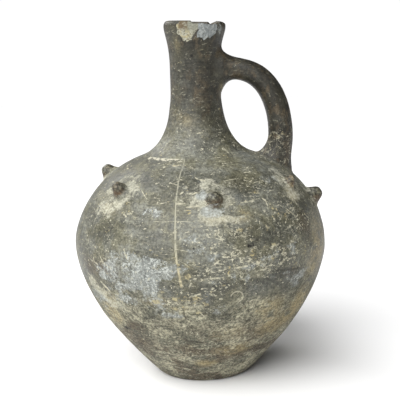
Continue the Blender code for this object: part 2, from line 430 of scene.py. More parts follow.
# %% Where the knobs stand
# (azimuth in degrees from the front towards the handle, height, size)
KNOBS = [
    (-103, 0.17165, 1.04), (-50, 0.16835, 1.0), (7.3, 0.1637, 1.0), (62, 0.1676, 0.85),
    (83, 0.1511, 1.08), (131, 0.167, 1.0), (196, 0.1649, 1.05),
]


def wall_at(heights):
    """The wall's outer radius at each height, and its slope as outward (across, up) parts."""
    run = np.array([p[:] for p in outer_run])
    radius = np.interp(heights, run[:, 1], run[:, 0])
    step = 0.0008
    above = np.interp(heights + step, run[:, 1], run[:, 0])
    change = above - np.interp(heights - step, run[:, 1], run[:, 0])
    length = np.hypot(change, 2 * step)
    return radius, 2 * step / length, -change / length


def knob_marks():
    """A point on the wall for each knob, with its outward direction and its size."""
    azimuth, height, size = np.array(KNOBS).T
    radius, across, up = wall_at(height)
    turn = np.radians(azimuth)
    around = np.stack([np.sin(turn), -np.cos(turn)], 1)
    places = np.column_stack([around * radius[:, None], height])
    outwards = np.column_stack([around * across[:, None], up])
    return places, outwards, size


places, outwards, sizes = knob_marks()
marks_mesh = bpy.data.meshes.new("knob_marks")
marks_mesh.from_pydata(places.tolist(), [], [])
directions = marks_mesh.attributes.new("outwards", "FLOAT_VECTOR", "POINT")
directions.data.foreach_set("vector", outwards.ravel())
marks_mesh.attributes.new("size", "FLOAT", "POINT").data.foreach_set("value", sizes)
marks = bpy.data.objects.new("knobs", marks_mesh)
bpy.context.scene.collection.objects.link(marks)
print("marks for", len(places), "knobs,",
      [round(1000 * math.hypot(*p[:2])) for p in places], "mm from the axis")

# %% Turn one knob and press it on everywhere
def knob_tree():
    """Sets a knob on each mark, aimed outwards, sized and pinched a little at random."""
    tree, given, result = new_tree("press_on_knobs", {
        "Knob": "NodeSocketObject", "Size": "NodeSocketFloat", "Pinch": "NodeSocketFloat",
        "Seed": "NodeSocketInt", "Clay": "NodeSocketMaterial"})
    join = tree.links.new
    shape = add_node(tree, "GeometryNodeObjectInfo")
    join(given.outputs["Knob"], shape.inputs["Object"])
    outward = add_node(tree, "GeometryNodeInputNamedAttribute", {"Name": "outwards"},
                       data_type="FLOAT_VECTOR")
    aim = add_node(tree, "FunctionNodeAlignRotationToVector", axis="Z")
    join(outward.outputs["Attribute"], aim.inputs["Vector"])

    own = add_node(tree, "GeometryNodeInputNamedAttribute", {"Name": "size"},
                   data_type="FLOAT")
    scale = add_node(tree, "ShaderNodeMath", operation="MULTIPLY")
    join(own.outputs["Attribute"], scale.inputs[0])
    join(given.outputs["Size"], scale.inputs[1])
    squeeze = add_node(tree, "FunctionNodeRandomValue", {2: -1.0, 3: 1.0}, data_type="FLOAT")
    join(given.outputs["Seed"], squeeze.inputs["Seed"])
    pinched = add_node(tree, "ShaderNodeMath", {2: 1.0}, operation="MULTIPLY_ADD")
    join(squeeze.outputs[1], pinched.inputs[0])
    join(given.outputs["Pinch"], pinched.inputs[1])
    sides = add_node(tree, "ShaderNodeCombineXYZ", {"Y": 1.0, "Z": 1.0})
    join(pinched.outputs[0], sides.inputs["X"])
    sized = add_node(tree, "ShaderNodeVectorMath", operation="SCALE")
    join(sides.outputs[0], sized.inputs[0])
    join(scale.outputs[0], sized.inputs["Scale"])

    pressed = add_node(tree, "GeometryNodeInstanceOnPoints")
    join(given.outputs["Geometry"], pressed.inputs["Points"])
    join(shape.outputs["Geometry"], pressed.inputs["Instance"])
    join(aim.outputs["Rotation"], pressed.inputs["Rotation"])
    join(sized.outputs[0], pressed.inputs["Scale"])
    whole = add_node(tree, "GeometryNodeRealizeInstances")
    join(pressed.outputs[0], whole.inputs[0])
    clad = add_node(tree, "GeometryNodeSetMaterial")
    join(whole.outputs[0], clad.inputs["Geometry"])
    join(given.outputs["Clay"], clad.inputs["Material"])
    join(clad.outputs[0], result.inputs[0])
    return tree


# (distance from the knob's axis, height over the wall), from its point down to its skirt
KNOB_OUTLINE = [
    (0, 0.0093), (0.0024, 0.0091), (0.0040, 0.0083), (0.0048, 0.0067), (0.0055, 0.0044),
    (0.0063, 0.0023), (0.0072, 0.0010), (0.0082, 0.0002), (0.0093, -0.0008), (0.0093, -0.005),
    (0, -0.005),
]
one_knob = turned_piece("one_knob", KNOB_OUTLINE[::-1], 40)
knob_inputs = {"Knob": one_knob, "Size": 1.0, "Pinch": 0.12, "Seed": 4, "Clay": clay}
knobs = run_tree(marks, knob_tree(), knob_inputs)
bpy.data.objects.remove(one_knob)
print("knobs:", len(knobs.data.polygons), "faces")

# %% [markdown]
# ## One lump of clay
# Real joints are wiped over with a wet finger until nothing shows where one piece ends. A Remesh
# modifier in voxel mode does that for the handle: it melts the overlapping skins into one, with
# even small faces. Afterwards only the joints are smoothed, by an amount that fades with the
# distance from each. The knobs are smaller than a few voxels, so they would lose their shape in
# it. They already end in a thin skirt, and a Boolean union lays that on the wall.

# %% Melt the handle into the wall
VOXEL = 0.0018


def gathered(name, pieces):
    """One mesh object out of several, which are then removed."""
    bm = bmesh.new()
    for piece in pieces:
        bm.from_mesh(piece.data)
        bpy.data.objects.remove(piece)
    mesh = bpy.data.meshes.new(name)
    bm.to_mesh(mesh)
    bm.free()
    obj = bpy.data.objects.new(name, mesh)
    bpy.context.scene.collection.objects.link(obj)
    return obj


flask = gathered("flask_clay", [body, bar])
melt = flask.modifiers.new("Melt", "REMESH")
melt.mode = "VOXEL"
melt.voxel_size = VOXEL
settle(flask)
print("one skin of", len(flask.data.polygons), "faces")

# %% Wipe the joints smooth
# (centre and reach of the wiping at the handle's two ends)
NECK_JOINT = ((0.024, 0, 0.262), 0.034)
ROOT_JOINT = ((0.069, 0, 0.178), 0.033)


def nearness(points, centre, reach):
    """1 at the centre, fading to 0 at the reach, both in metres."""
    distance = np.linalg.norm(points - np.array(centre), axis=1)
    return np.clip(1.6 * (1 - distance / reach), 0, 1)


def wiped(obj, weight, rounds):
    """Moves each point towards the middle of its neighbours, by its weight, several times."""
    ends = np.empty(len(obj.data.edges) * 2, np.int32)
    obj.data.edges.foreach_get("vertices", ends)
    a, b = ends.reshape(-1, 2).T
    points = points_of(obj)
    count = np.maximum(np.bincount(np.concatenate([a, b]), minlength=len(points)), 1)
    for _ in range(rounds):
        middle = [np.bincount(a, points[b, axis], len(points))
                  + np.bincount(b, points[a, axis], len(points)) for axis in range(3)]
        points += (np.stack(middle, 1) / count[:, None] - points) * (0.5 * weight)[:, None]
    move_points(obj, points)


points = points_of(flask)
soft = np.maximum(nearness(points, *NECK_JOINT), nearness(points, *ROOT_JOINT))
wiped(flask, soft, 12)
wiped(flask, np.full(len(points), 0.6), 3)
print("smoothed", int((soft > 0).sum()), "of", len(points), "points at the handle's ends")

# %% [markdown]
# The lip carries the smallest shapes, so its faces are cut in four before the breaks are made.
# Everywhere else they stay as they are, because light and bump will do the rest.

# %% Finer faces on the lip and knobs on the wall
FINE_FROM = 0.2825
SKIRT_RADIUS = 0.0086
SKIRT_REACH = 0.0022


def refine(obj, wanted):
    """Cuts each edge whose two ends are wanted in half."""
    bm = bmesh.new()
    bm.from_mesh(obj.data)
    bm.verts.ensure_lookup_table()
    edges = [e for e in bm.edges if wanted[e.verts[0].index] and wanted[e.verts[1].index]]
    bmesh.ops.subdivide_edges(bm, edges=edges, cuts=1, use_grid_fill=True)
    bm.to_mesh(obj.data)
    bm.free()


def joined(obj, other, operation):
    """Adds the other's shape to the object or takes it away, and removes the other."""
    boolean = obj.modifiers.new("Join", "BOOLEAN")
    boolean.operation = operation
    boolean.solver = "EXACT"
    boolean.object = other
    settle(obj)
    bpy.data.objects.remove(other)


refine(flask, points_of(flask)[:, 2] > FINE_FROM)
joined(flask, knobs, "UNION")
points = points_of(flask)
skirts = np.zeros(len(points))
for place, size in zip(places, sizes):
    distance = np.linalg.norm(points - place, axis=1) / size
    off_skirt = abs(distance - SKIRT_RADIUS) / SKIRT_REACH
    skirts = np.maximum(skirts, np.clip(1.4 - off_skirt, 0, 1))
wiped(flask, skirts, 6)
print("now", len(flask.data.polygons), "faces")

# %% [markdown]
# ## The hollow and the old breaks
# Now the inside is cut out with a Boolean, the way a solid lump would be hollowed, which gives the
# wall its true thickness down to the floor. Two ragged bites follow: a shallow one along the front
# of the lip and a deeper one behind. Their floors are rough, because fired clay breaks like a
# biscuit, so the cutters are given an uneven underside by noise with a fixed pattern.

# %% Hollow it out
joined(flask, hollow, "DIFFERENCE")
print("hollow flask:", len(flask.data.polygons), "faces")

# %% Break the lip
# (first and last azimuth, depth), and the floor from end to end as shares of that depth
FRONT_BITE = (-13.5, 58, 0.0025)
FRONT_FLOOR = (-0.5, 0.55, 0.7, 0.6, 0.85, 1.0, 1.0, 0.4, -0.4)
BACK_BITE = (122, 151, 0.0036)
BACK_FLOOR = (-0.5, 0.55, 0.7, 0.6, 0.85, 1.0, 0.9, -0.5)
CUT_FROM = 0.008
CUT_WIDTH = 0.026
CUT_ABOVE = 0.006


def ragged_cutter(name, bite, floor, seed):
    """What a bite takes out of the lip: a wedge with an uneven underside."""
    first, last, depth = bite
    steps, across = 56, 16
    rings = []
    for i in range(steps + 1):
        share = i / steps
        azimuth = math.radians(first + (last - first) * share)
        sunk = depth * np.interp(share * (len(floor) - 1), range(len(floor)), floor)
        around = Vector((math.sin(azimuth), -math.cos(azimuth), 0))
        ring = []
        for j in range(across + 1):
            radius = CUT_FROM + CUT_WIDTH * j / across
            spot = (around * radius + Vector((seed, 0, 0))) / 0.0028
            level = HEIGHT - sunk + 0.0004 * noise.fractal(spot, 0.7, 2.0, 3)
            ring.append(around * radius + Vector((0, 0, level)))
        top = Vector((0, 0, HEIGHT + CUT_ABOVE))
        ring += [around * (CUT_FROM + CUT_WIDTH) + top, around * CUT_FROM + top]
        rings.append(ring)
    cutter = lofted(name, rings)
    move_points(cutter, leaned(points_of(cutter)))
    return cutter


joined(flask, ragged_cutter("front_bite", FRONT_BITE, FRONT_FLOOR, 0.2), "DIFFERENCE")
joined(flask, ragged_cutter("back_bite", BACK_BITE, BACK_FLOOR, 0.5), "DIFFERENCE")
print("with its breaks:", len(flask.data.polygons), "faces")

# %% [markdown]
# ## The unevenness of a hand
# A burnished pot is never as true as its lathe outline. It has a few flat or hollow places from
# drying and handling, low rings from the fingers, and the fine flats that the burnishing stone
# leaves. A Displace modifier could do this with a texture, but moving the points ourselves lets us
# say where a hollow lies, by its azimuth and height. Nearly every move goes inwards, so the flask
# stays inside the box of its solid. Only one small blister low on the front stands out.

# %% Know each point's place on the pot
FOOT_EDGE = 0.004


def straightened(points):
    """The points with the lean of the neck taken back out."""
    way = np.array([math.sin(BEND_AZIMUTH), -math.cos(BEND_AZIMUTH), 0])
    rise = points[:, 2] - BEND_Z
    turn = NECK_BEND * np.maximum(rise, 0) / (HEIGHT - BEND_Z)
    straight = points - way * (rise * turn / 2)[:, None]
    straight[:, 2] = points[:, 2] + (points @ way) * np.sin(turn)
    return straight


def place_on_pot(points):
    """Azimuth in degrees, height, and distance from the axis."""
    straight = straightened(points)
    azimuth = np.degrees(np.arctan2(straight[:, 0], -straight[:, 1]))
    return azimuth, straight[:, 2], np.hypot(straight[:, 0], straight[:, 1])


def eased(share):
    """Cut to 0 and 1 with a soft start and end."""
    share = np.clip(share, 0, 1)
    return share * share * (3 - 2 * share)


def patch(azimuth, height, middle, reach):
    """A soft spot on the wall: 1 in its middle, 0 from its reach on, in degrees and metres."""
    aside = (azimuth - middle[0] + 180) % 360 - 180
    return eased(1.25 * (1 - np.hypot(aside / reach[0], (height - middle[1]) / reach[1])))


def rough(points, size, octaves=2, seed=0.0):
    """Noise of the given size at each point, between about -1 and 1."""
    offset = Vector((seed, seed * 0.7, -seed))
    return np.array([noise.fractal(Vector(p) / size + offset, 0.9, 2.0, octaves)
                     for p in points.tolist()])


azimuth, height, radius = place_on_pot(points_of(flask))
wall_radius = wall_at(height)[0]
inside = eased((wall_radius - radius - 0.3 * WALL) / (0.4 * WALL)) * (height > FOOT_EDGE)
print("points inside:", int((inside > 0.5).sum()), "of", len(inside))

# %% Tell the knobs and the handle from the wall
# how far a knob's own skin, its underside and the dirt round it reach from its axis or foot
KNOB_SKIN = 0.0080
KNOB_UNDERSIDE = 0.0085
KNOB_DIRT = 0.026
HANDLE_LOWEST = 0.1655
HANDLE_HIGHEST = 0.283

on_knob = np.zeros(len(radius))
near_knob = np.zeros(len(radius))
under_knob = np.zeros(len(radius))
for place, outward, size in zip(places, outwards, sizes):
    arm = points_of(flask) - place
    lift = arm @ outward
    aside = np.linalg.norm(arm - lift[:, None] * outward, axis=1)
    skin = eased(lift / 0.003) * eased((KNOB_SKIN * size - aside) / 0.0014)
    on_knob = np.maximum(on_knob, skin)
    drop = eased((place[2] + 0.0030 - points_of(flask)[:, 2]) / 0.0040)
    underside = drop * eased(lift / 0.002) * eased((KNOB_UNDERSIDE * size - aside) / 0.001)
    under_knob = np.maximum(under_knob, underside)
    dirt = eased((KNOB_DIRT - np.linalg.norm(arm, axis=1)) / 0.015)
    near_knob = np.maximum(near_knob, dirt)
stands_out = eased((radius - wall_radius - 0.0006) / 0.0045)
right_side = (abs(azimuth - 90) < 75) * (height > HANDLE_LOWEST) * (height < HANDLE_HIGHEST)
on_handle = stands_out * (on_knob < 0.01) * right_side
print("points on the knobs:", int((on_knob > 0.5).sum()),
      "and on the handle:", int((on_handle > 0.5).sum()))

# %% Press in the hollows and finger rings
# (azimuth, height, reach in degrees, reach in height, depth)
HOLLOWS = [
    (-92, 0.040, 55, 0.024, 0.0009), (-88, 0.072, 40, 0.014, 0.0002),
    (84, 0.126, 40, 0.022, 0.0011), (-20, 0.060, 30, 0.025, 0.0007),
    (35, 0.045, 32, 0.020, 0.0006), (150, 0.085, 45, 0.030, 0.0010),
    (-140, 0.120, 40, 0.026, 0.0008), (12, 0.215, 60, 0.014, 0.0004),
    (-60, 0.236, 50, 0.012, 0.0004),
]
# (azimuth, height), (reach in degrees, reach in height), height over the wall
BLISTER = ((-10, 0.0760), (5, 0.007), 0.0011)
PRESSED_OVERALL = 0.00020
RINGS_FROM = 0.19
RING_SPACING = 0.0042


def vertex_normals(obj):
    """The outward direction at each point."""
    flat = np.empty(len(obj.data.vertices) * 3, np.float32)
    obj.data.vertices.foreach_get("normal", flat)
    return flat.reshape(-1, 3).astype(float)


points = points_of(flask)
dents = 0.00018 * rough(points, 0.045, 2, 1.3)
stone_flats = 0.00007 * rough(points * (1, 1, 2.5), 0.013, 2, 5.1)
wandering = height / RING_SPACING + 1.5 * rough(points, 0.05, 1, 9.0)
finger_rings = 0.00005 * np.sin(wandering) * (height > RINGS_FROM)
sink = PRESSED_OVERALL + dents + stone_flats + finger_rings
for *middle, reach, high, depth in HOLLOWS:
    sink += depth * patch(azimuth, height, middle, (reach, high))
blister_place, blister_reach, blister_rise = BLISTER
sink -= blister_rise * patch(azimuth, height, blister_place, blister_reach)
sink *= eased(height / FOOT_EDGE) * (1 - 0.6 * inside)
move_points(flask, points - vertex_normals(flask) * sink[:, None])
print("pressed in by", round(1000 * sink.max(), 2), "mm at the most")

# %% [markdown]
# Two flakes have come off the outside of the lip, one pale and one bluish. Their floors lie under a
# millimetre deep and are granular. A flake's outline is ragged, so its mask is a soft patch that
# noise makes narrower or wider before it is cut off sharply. A slanting crack ends the pale one at
# its lower right, and the bluish one lies only where the pale one doesn't.

# %% Flake the lip
# (azimuth, height) of the middle, and the reach in degrees and in height
PALE_FLAKE = ((-12, 0.2935), (35, 0.0148))
BLUE_FLAKE = ((23, 0.2950), (36, 0.0140))
# the crack passes this azimuth at this height, and leans by so many degrees a metre
CRACK_AZIMUTH = 6
CRACK_HEIGHT = 0.2918
CRACK_LEAN = 1750


def flake(middle, reach, ragged, seed):
    """1 where a flake is missing from the outside of the lip, with a ragged outline."""
    spot = patch(azimuth, height, middle, reach)
    return eased((spot + ragged * rough(points, 0.0032, 3, seed) - 0.28) / 0.14) * (inside < 0.5)


points = points_of(flask)
crack_azimuth = CRACK_AZIMUTH + CRACK_LEAN * (height - CRACK_HEIGHT)
pale_end = np.where(height < CRACK_HEIGHT, crack_azimuth, CRACK_AZIMUTH) + 2
pale_flake = flake(*PALE_FLAKE, 0.26, 2.0)
pale_flake *= eased((pale_end - azimuth) / 3)
blue_flake = flake(*BLUE_FLAKE, 0.24, 7.0) * (1 - pale_flake) * eased((azimuth - 3) / 3)
crack = eased(1.3 - abs(azimuth - crack_azimuth) / 3.0) * eased((height - 0.2845) / 0.001)
crack *= eased((0.2935 - height) / 0.001) * (inside < 0.5)
deep = pale_flake * (0.00075 + 0.00022 * rough(points, 0.0014, 2, 3.0))
deep += blue_flake * (0.00050 + 0.00016 * rough(points, 0.0022, 2, 4.0)) + 0.0005 * crack
deep *= eased((0.3015 - height) / 0.003)
points -= vertex_normals(flask) * deep[:, None]
points[:, 2] = np.maximum(points[:, 2], 0)
move_points(flask, points)
print("flaked off:", int((pale_flake > 0.5).sum()), "pale points and",
      int((blue_flake > 0.5).sum()), "bluish ones")

# %% [markdown]
# ## Where each finish lies
# One material will cover the whole flask, and it has to know what lies where: soot on the handle,
# lime round the knobs, bare clay in the flakes. We write that on the points as attributes, each a
# number from 0 to 1. Painting weights by hand would do the same, but this can be read and changed.
# The masks are soft. The material's own noise breaks them up, so no edge looks drawn.

# %% Patches of bloom and lime
def scatter(patches):
    """The sum of soft patches: (azimuth, height, reach in degrees, reach in height, strength)."""
    total = np.zeros(len(azimuth))
    for *middle, reach, high, strength in patches:
        total += strength * patch(azimuth, height, middle, (reach, high))
    return np.clip(total, 0, 1)


def write_mask(name, values):
    """Stores one number from 0 to 1 on each point, under a name that the material can ask for."""
    layer = flask.data.attributes.new(name, "FLOAT", "POINT")
    layer.data.foreach_set("value", np.clip(values, 0, 1).astype(np.float32))


# the bluish-white bloom
CHALK = [
    (-36, 0.119, 13, 0.012, 1.0), (-25, 0.118, 14, 0.012, 0.9), (-15, 0.116, 10, 0.012, 0.8),
    (1, 0.121, 14, 0.012, 0.5), (-22, 0.104, 18, 0.013, 1.0), (-38, 0.106, 14, 0.016, 1.0),
    (-47, 0.108, 10, 0.012, 1.0), (-30, 0.090, 26, 0.014, 0.7), (8, 0.101, 28, 0.007, 0.4),
    (32, 0.117, 14, 0.008, 0.7), (42, 0.123, 12, 0.008, 0.6), (20, 0.108, 16, 0.010, 0.4),
    (44, 0.098, 16, 0.012, 0.6), (6.4, 0.1565, 9, 0.007, 1.0), (1, 0.168, 5, 0.006, 0.8),
    (-22, 0.156, 9, 0.006, 0.7), (-4, 0.135, 10, 0.010, 0.4), (4, 0.082, 20, 0.012, 0.4),
    (-18, 0.078, 16, 0.010, 0.5), (47, 0.174, 13, 0.011, 0.55), (53, 0.2935, 18, 0.009, 1.0),
    (-60, 0.078, 16, 0.014, 0.7), (150, 0.105, 36, 0.030, 0.9), (-150, 0.090, 40, 0.028, 0.9),
    (-105, 0.118, 26, 0.022, 0.6), (110, 0.082, 26, 0.020, 0.5), (-170, 0.150, 24, 0.014, 0.5),
]
# where lime lies thickest
CRUMBS = [
    (14, 0.116, 34, 0.020, 1.0), (40, 0.116, 24, 0.018, 0.9), (8, 0.140, 30, 0.018, 0.8),
    (48, 0.145, 22, 0.024, 0.8), (0, 0.100, 26, 0.012, 0.6), (-8, 0.086, 22, 0.012, 0.9),
    (-52, 0.120, 26, 0.018, 0.4), (-52, 0.086, 14, 0.012, 0.9), (46, 0.200, 22, 0.012, 0.7),
    (20, 0.192, 20, 0.010, 0.35), (-40, 0.184, 34, 0.008, 0.2), (30, 0.170, 26, 0.012, 0.4),
    (84, 0.197, 30, 0.029, 0.70), (79, 0.247, 10, 0.014, 0.9), (120, 0.110, 34, 0.030, 0.7),
    (-130, 0.110, 40, 0.030, 0.7), (165, 0.140, 30, 0.026, 0.7), (-170, 0.070, 40, 0.020, 0.6),
    (95, 0.140, 24, 0.020, 0.5),
]
print("patches of bloom:", len(CHALK), "and of lime:", len(CRUMBS))

# %% Patches of clay, smoke and dirt
# tan and yellowish clay
WARM = [
    (68, 0.124, 16, 0.026, 0.65), (62, 0.104, 14, 0.022, 0.8), (56, 0.068, 14, 0.026, 1.0),
    (40, 0.055, 17, 0.017, 1.0), (60, 0.1650, 4, 0.004, 0.9), (19, 0.037, 18, 0.009, 0.8),
    (1, 0.024, 14, 0.006, 0.9), (-20, 0.087, 9, 0.006, 0.5), (34, 0.074, 12, 0.016, 0.7),
    (-52, 0.068, 12, 0.016, 0.7), (14, 0.056, 16, 0.010, 0.4), (7, 0.151, 9, 0.005, 0.6),
    (19, 0.1515, 8, 0.006, 0.9), (57, 0.160, 7, 0.007, 0.8), (-50, 0.156, 10, 0.006, 0.4),
    (-48, 0.084, 8, 0.010, 0.6), (75, 0.246, 16, 0.014, 0.9), (-38, 0.281, 12, 0.010, 0.3),
    (-34, 0.222, 40, 0.012, 0.25), (-14, 0.219, 20, 0.009, 0.15), (95, 0.060, 24, 0.030, 0.6),
    (170, 0.050, 40, 0.020, 0.7), (-120, 0.050, 40, 0.020, 0.6),
]
# brown blotches
BROWN = [
    (-39, 0.059, 10, 0.010, 1.0), (-44, 0.041, 14, 0.014, 1.0), (-22, 0.027, 16, 0.009, 1.0),
    (-28, 0.044, 14, 0.008, 0.6), (20, 0.028, 20, 0.008, 0.6), (-44, 0.111, 9, 0.011, 0.9),
    (54, 0.137, 8, 0.016, 0.7), (6.3, 0.1585, 5, 0.0035, 1.0), (42, 0.103, 10, 0.005, 0.7),
    (-56, 0.108, 12, 0.012, 0.8), (14, 0.245, 26, 0.024, 0.6), (30, 0.055, 26, 0.016, 0.6),
    (2, 0.060, 20, 0.010, 0.5), (60, 0.030, 20, 0.012, 0.6), (-90, 0.040, 30, 0.014, 0.7),
    (130, 0.040, 40, 0.016, 0.8), (-170, 0.040, 36, 0.014, 0.8),
]
# where the soot is thinner: on the left of the neck this is painted light and sheen on the
# side the lamps fall on, and at the right of the lip it is a paler grey-brown lobe
THIN_SOOT_AND_PAINTED_LIGHT = [
    (54, 0.293, 16, 0.009, 0.9), (-48, 0.245, 38, 0.050, 0.9), (-30, 0.212, 44, 0.022, 0.8),
    (-50, 0.290, 40, 0.012, 0.5),
]
# darker clouds in the ground; the first one is painted shade, on the right side of the knob
# at 62 degrees and on the wall beside it
DARK = [
    (67, 0.170, 4.5, 0.008, 1.0), (64, 0.112, 12, 0.020, 0.5), (-34, 0.066, 16, 0.010, 0.6),
    (10, 0.070, 18, 0.010, 0.5), (34, 0.034, 22, 0.014, 0.6), (-8, 0.058, 16, 0.009, 0.4),
    (-57, 0.109, 12, 0.014, 0.8), (-51, 0.139, 16, 0.016, 0.6), (-18, 0.165, 12, 0.012, 0.5),
    (23, 0.172, 14, 0.014, 0.7), (40, 0.1045, 14, 0.005, 1.0), (7, 0.101, 28, 0.007, 0.8),
    (30, 0.099, 18, 0.007, 0.5), (-4, 0.112, 9, 0.010, 0.5), (52, 0.150, 16, 0.020, 0.6),
    (28, 0.138, 20, 0.012, 0.5), (24, 0.250, 30, 0.036, 0.8), (30, 0.215, 26, 0.022, 0.6),
    (45, 0.062, 16, 0.016, 0.4), (140, 0.130, 30, 0.020, 0.6), (-150, 0.160, 30, 0.020, 0.6),
    (-120, 0.080, 30, 0.016, 0.5), (180, 0.100, 30, 0.014, 0.6),
]
# lime packed close round the knobs
HALO = [
    (-57, 0.156, 9, 0.010, 0.9), (-50, 0.153, 8, 0.007, 0.8), (-43, 0.167, 5, 0.009, 1.0),
    (-45, 0.177, 6, 0.005, 0.8), (-45, 0.159, 6, 0.007, 0.9), (5, 0.1515, 11, 0.007, 1.0),
    (-1, 0.163, 6, 0.012, 1.0), (5, 0.1745, 9, 0.006, 1.0), (14, 0.172, 8, 0.007, 0.9),
    (6, 0.156, 9, 0.008, 1.0), (17, 0.149, 9, 0.006, 0.7), (55, 0.1715, 7, 0.008, 1.0),
    (57, 0.1655, 7, 0.010, 1.0), (60, 0.161, 6, 0.008, 1.0), (58, 0.158, 6, 0.008, 1.0),
    (-9, 0.168, 6, 0.010, 0.6), (-104, 0.160, 12, 0.008, 0.8), (84, 0.142, 10, 0.007, 0.8),
    (131, 0.158, 14, 0.009, 0.9), (196, 0.156, 14, 0.009, 0.9), (-52, 0.084, 11, 0.011, 1.0),
    (-60, 0.093, 7, 0.012, 1.0), (-44, 0.077, 10, 0.008, 0.8),
]
print("patches of other kinds:", len(WARM + BROWN + THIN_SOOT_AND_PAINTED_LIGHT + DARK + HALO))

# %% Write the masks on the points
PARTS_AND_FLAKES = {
    "inside": inside, "on_knob": on_knob, "near_knob": near_knob, "under_knob": under_knob,
    "on_handle": on_handle, "pale_flake": pale_flake, "blue_flake": blue_flake, "crack": crack,
}
# the mask clear holds thinner soot, and on the left of the neck painted light and sheen
ON_THE_WALL = {"warm": WARM, "brown": BROWN, "dark": DARK, "clear": THIN_SOOT_AND_PAINTED_LIGHT, "halo": HALO}
LIP_FROM = 0.2945
NO_LIME_FROM = 0.222

for name, values in PARTS_AND_FLAKES.items():
    write_mask(name, values)
write_mask("chalk", scatter(CHALK))
handle_top = on_handle * eased((height - NO_LIME_FROM) / 0.014)
write_mask("crumbs", scatter(CRUMBS) * (1 - handle_top))
for name, listed in ON_THE_WALL.items():
    write_mask(name, scatter(listed) * (1 - on_handle))
in_bite = np.zeros(len(azimuth), bool)
for first, last, _ in (FRONT_BITE, BACK_BITE):
    in_bite |= (azimuth > first) & (azimuth < last)
facing_up = eased((vertex_normals(flask)[:, 2] - 0.35) / 0.3)
write_mask("broken", (height > LIP_FROM) * in_bite * facing_up)
print("masks:", [layer.name for layer in flask.data.attributes if layer.domain == "POINT"])

# %% [markdown]
# Marks left by tools and wear run round the wall but lengthwise on the handle. So each point also
# carries a grain position: its own place on the wall, and on the handle its distance along the bar
# and round it. A noise that is stretched along the first and squeezed along the last then turns
# into strokes in the right direction everywhere.

# %% Lay the grain
HANDLE_OFFSET = 0.3
HANDLE_ROUND = 0.010


def grain_positions():
    """Each point's own place on the wall, and its unrolled place on the handle's bar."""
    points = points_of(flask)
    line = np.array([(p.x, p.y) for p in bar_line])
    flat = points[:, [0, 2]]
    nearest = np.argmin(((flat[:, None] - line[None]) ** 2).sum(2), axis=1)
    before = line[np.maximum(nearest - 1, 0)]
    after = line[np.minimum(nearest + 1, len(line) - 1)]
    way = (after - before) / np.linalg.norm(after - before, axis=1)[:, None]
    away = flat - line[nearest]
    along = past_neck[nearest] + (away * way).sum(1)
    across = away[:, 1] * way[:, 0] - away[:, 0] * way[:, 1]
    turn = np.arctan2(points[:, 1], across)
    on_bar = np.column_stack([along + HANDLE_OFFSET, np.zeros(len(along)), HANDLE_ROUND * turn])
    share = on_handle[:, None]
    return points * (1 - share) + on_bar * share


grain = flask.data.attributes.new("grain", "FLOAT_VECTOR", "POINT")
grain.data.foreach_set("vector", grain_positions().astype(np.float32).ravel())
print("grain laid on", len(grain.data), "points")

# %% [markdown]
# ## The finish
# The clay is dark grey because it was fired in smoke, and it shines a little where the burnishing
# stone pressed it. On top lie things that came later: soot and brown stains on the neck and the
# handle, worn pale clay low on the belly, a chalky bluish bloom, crumbs and threads of cream lime,
# and lime packed round the knobs. Each is one layer over the last, in that order, as on the pot.
#
# A material is a tree of nodes, and a long one is hard to read when every node is spelt out. So we
# first give the nodes short words, and then write each layer as one small function.

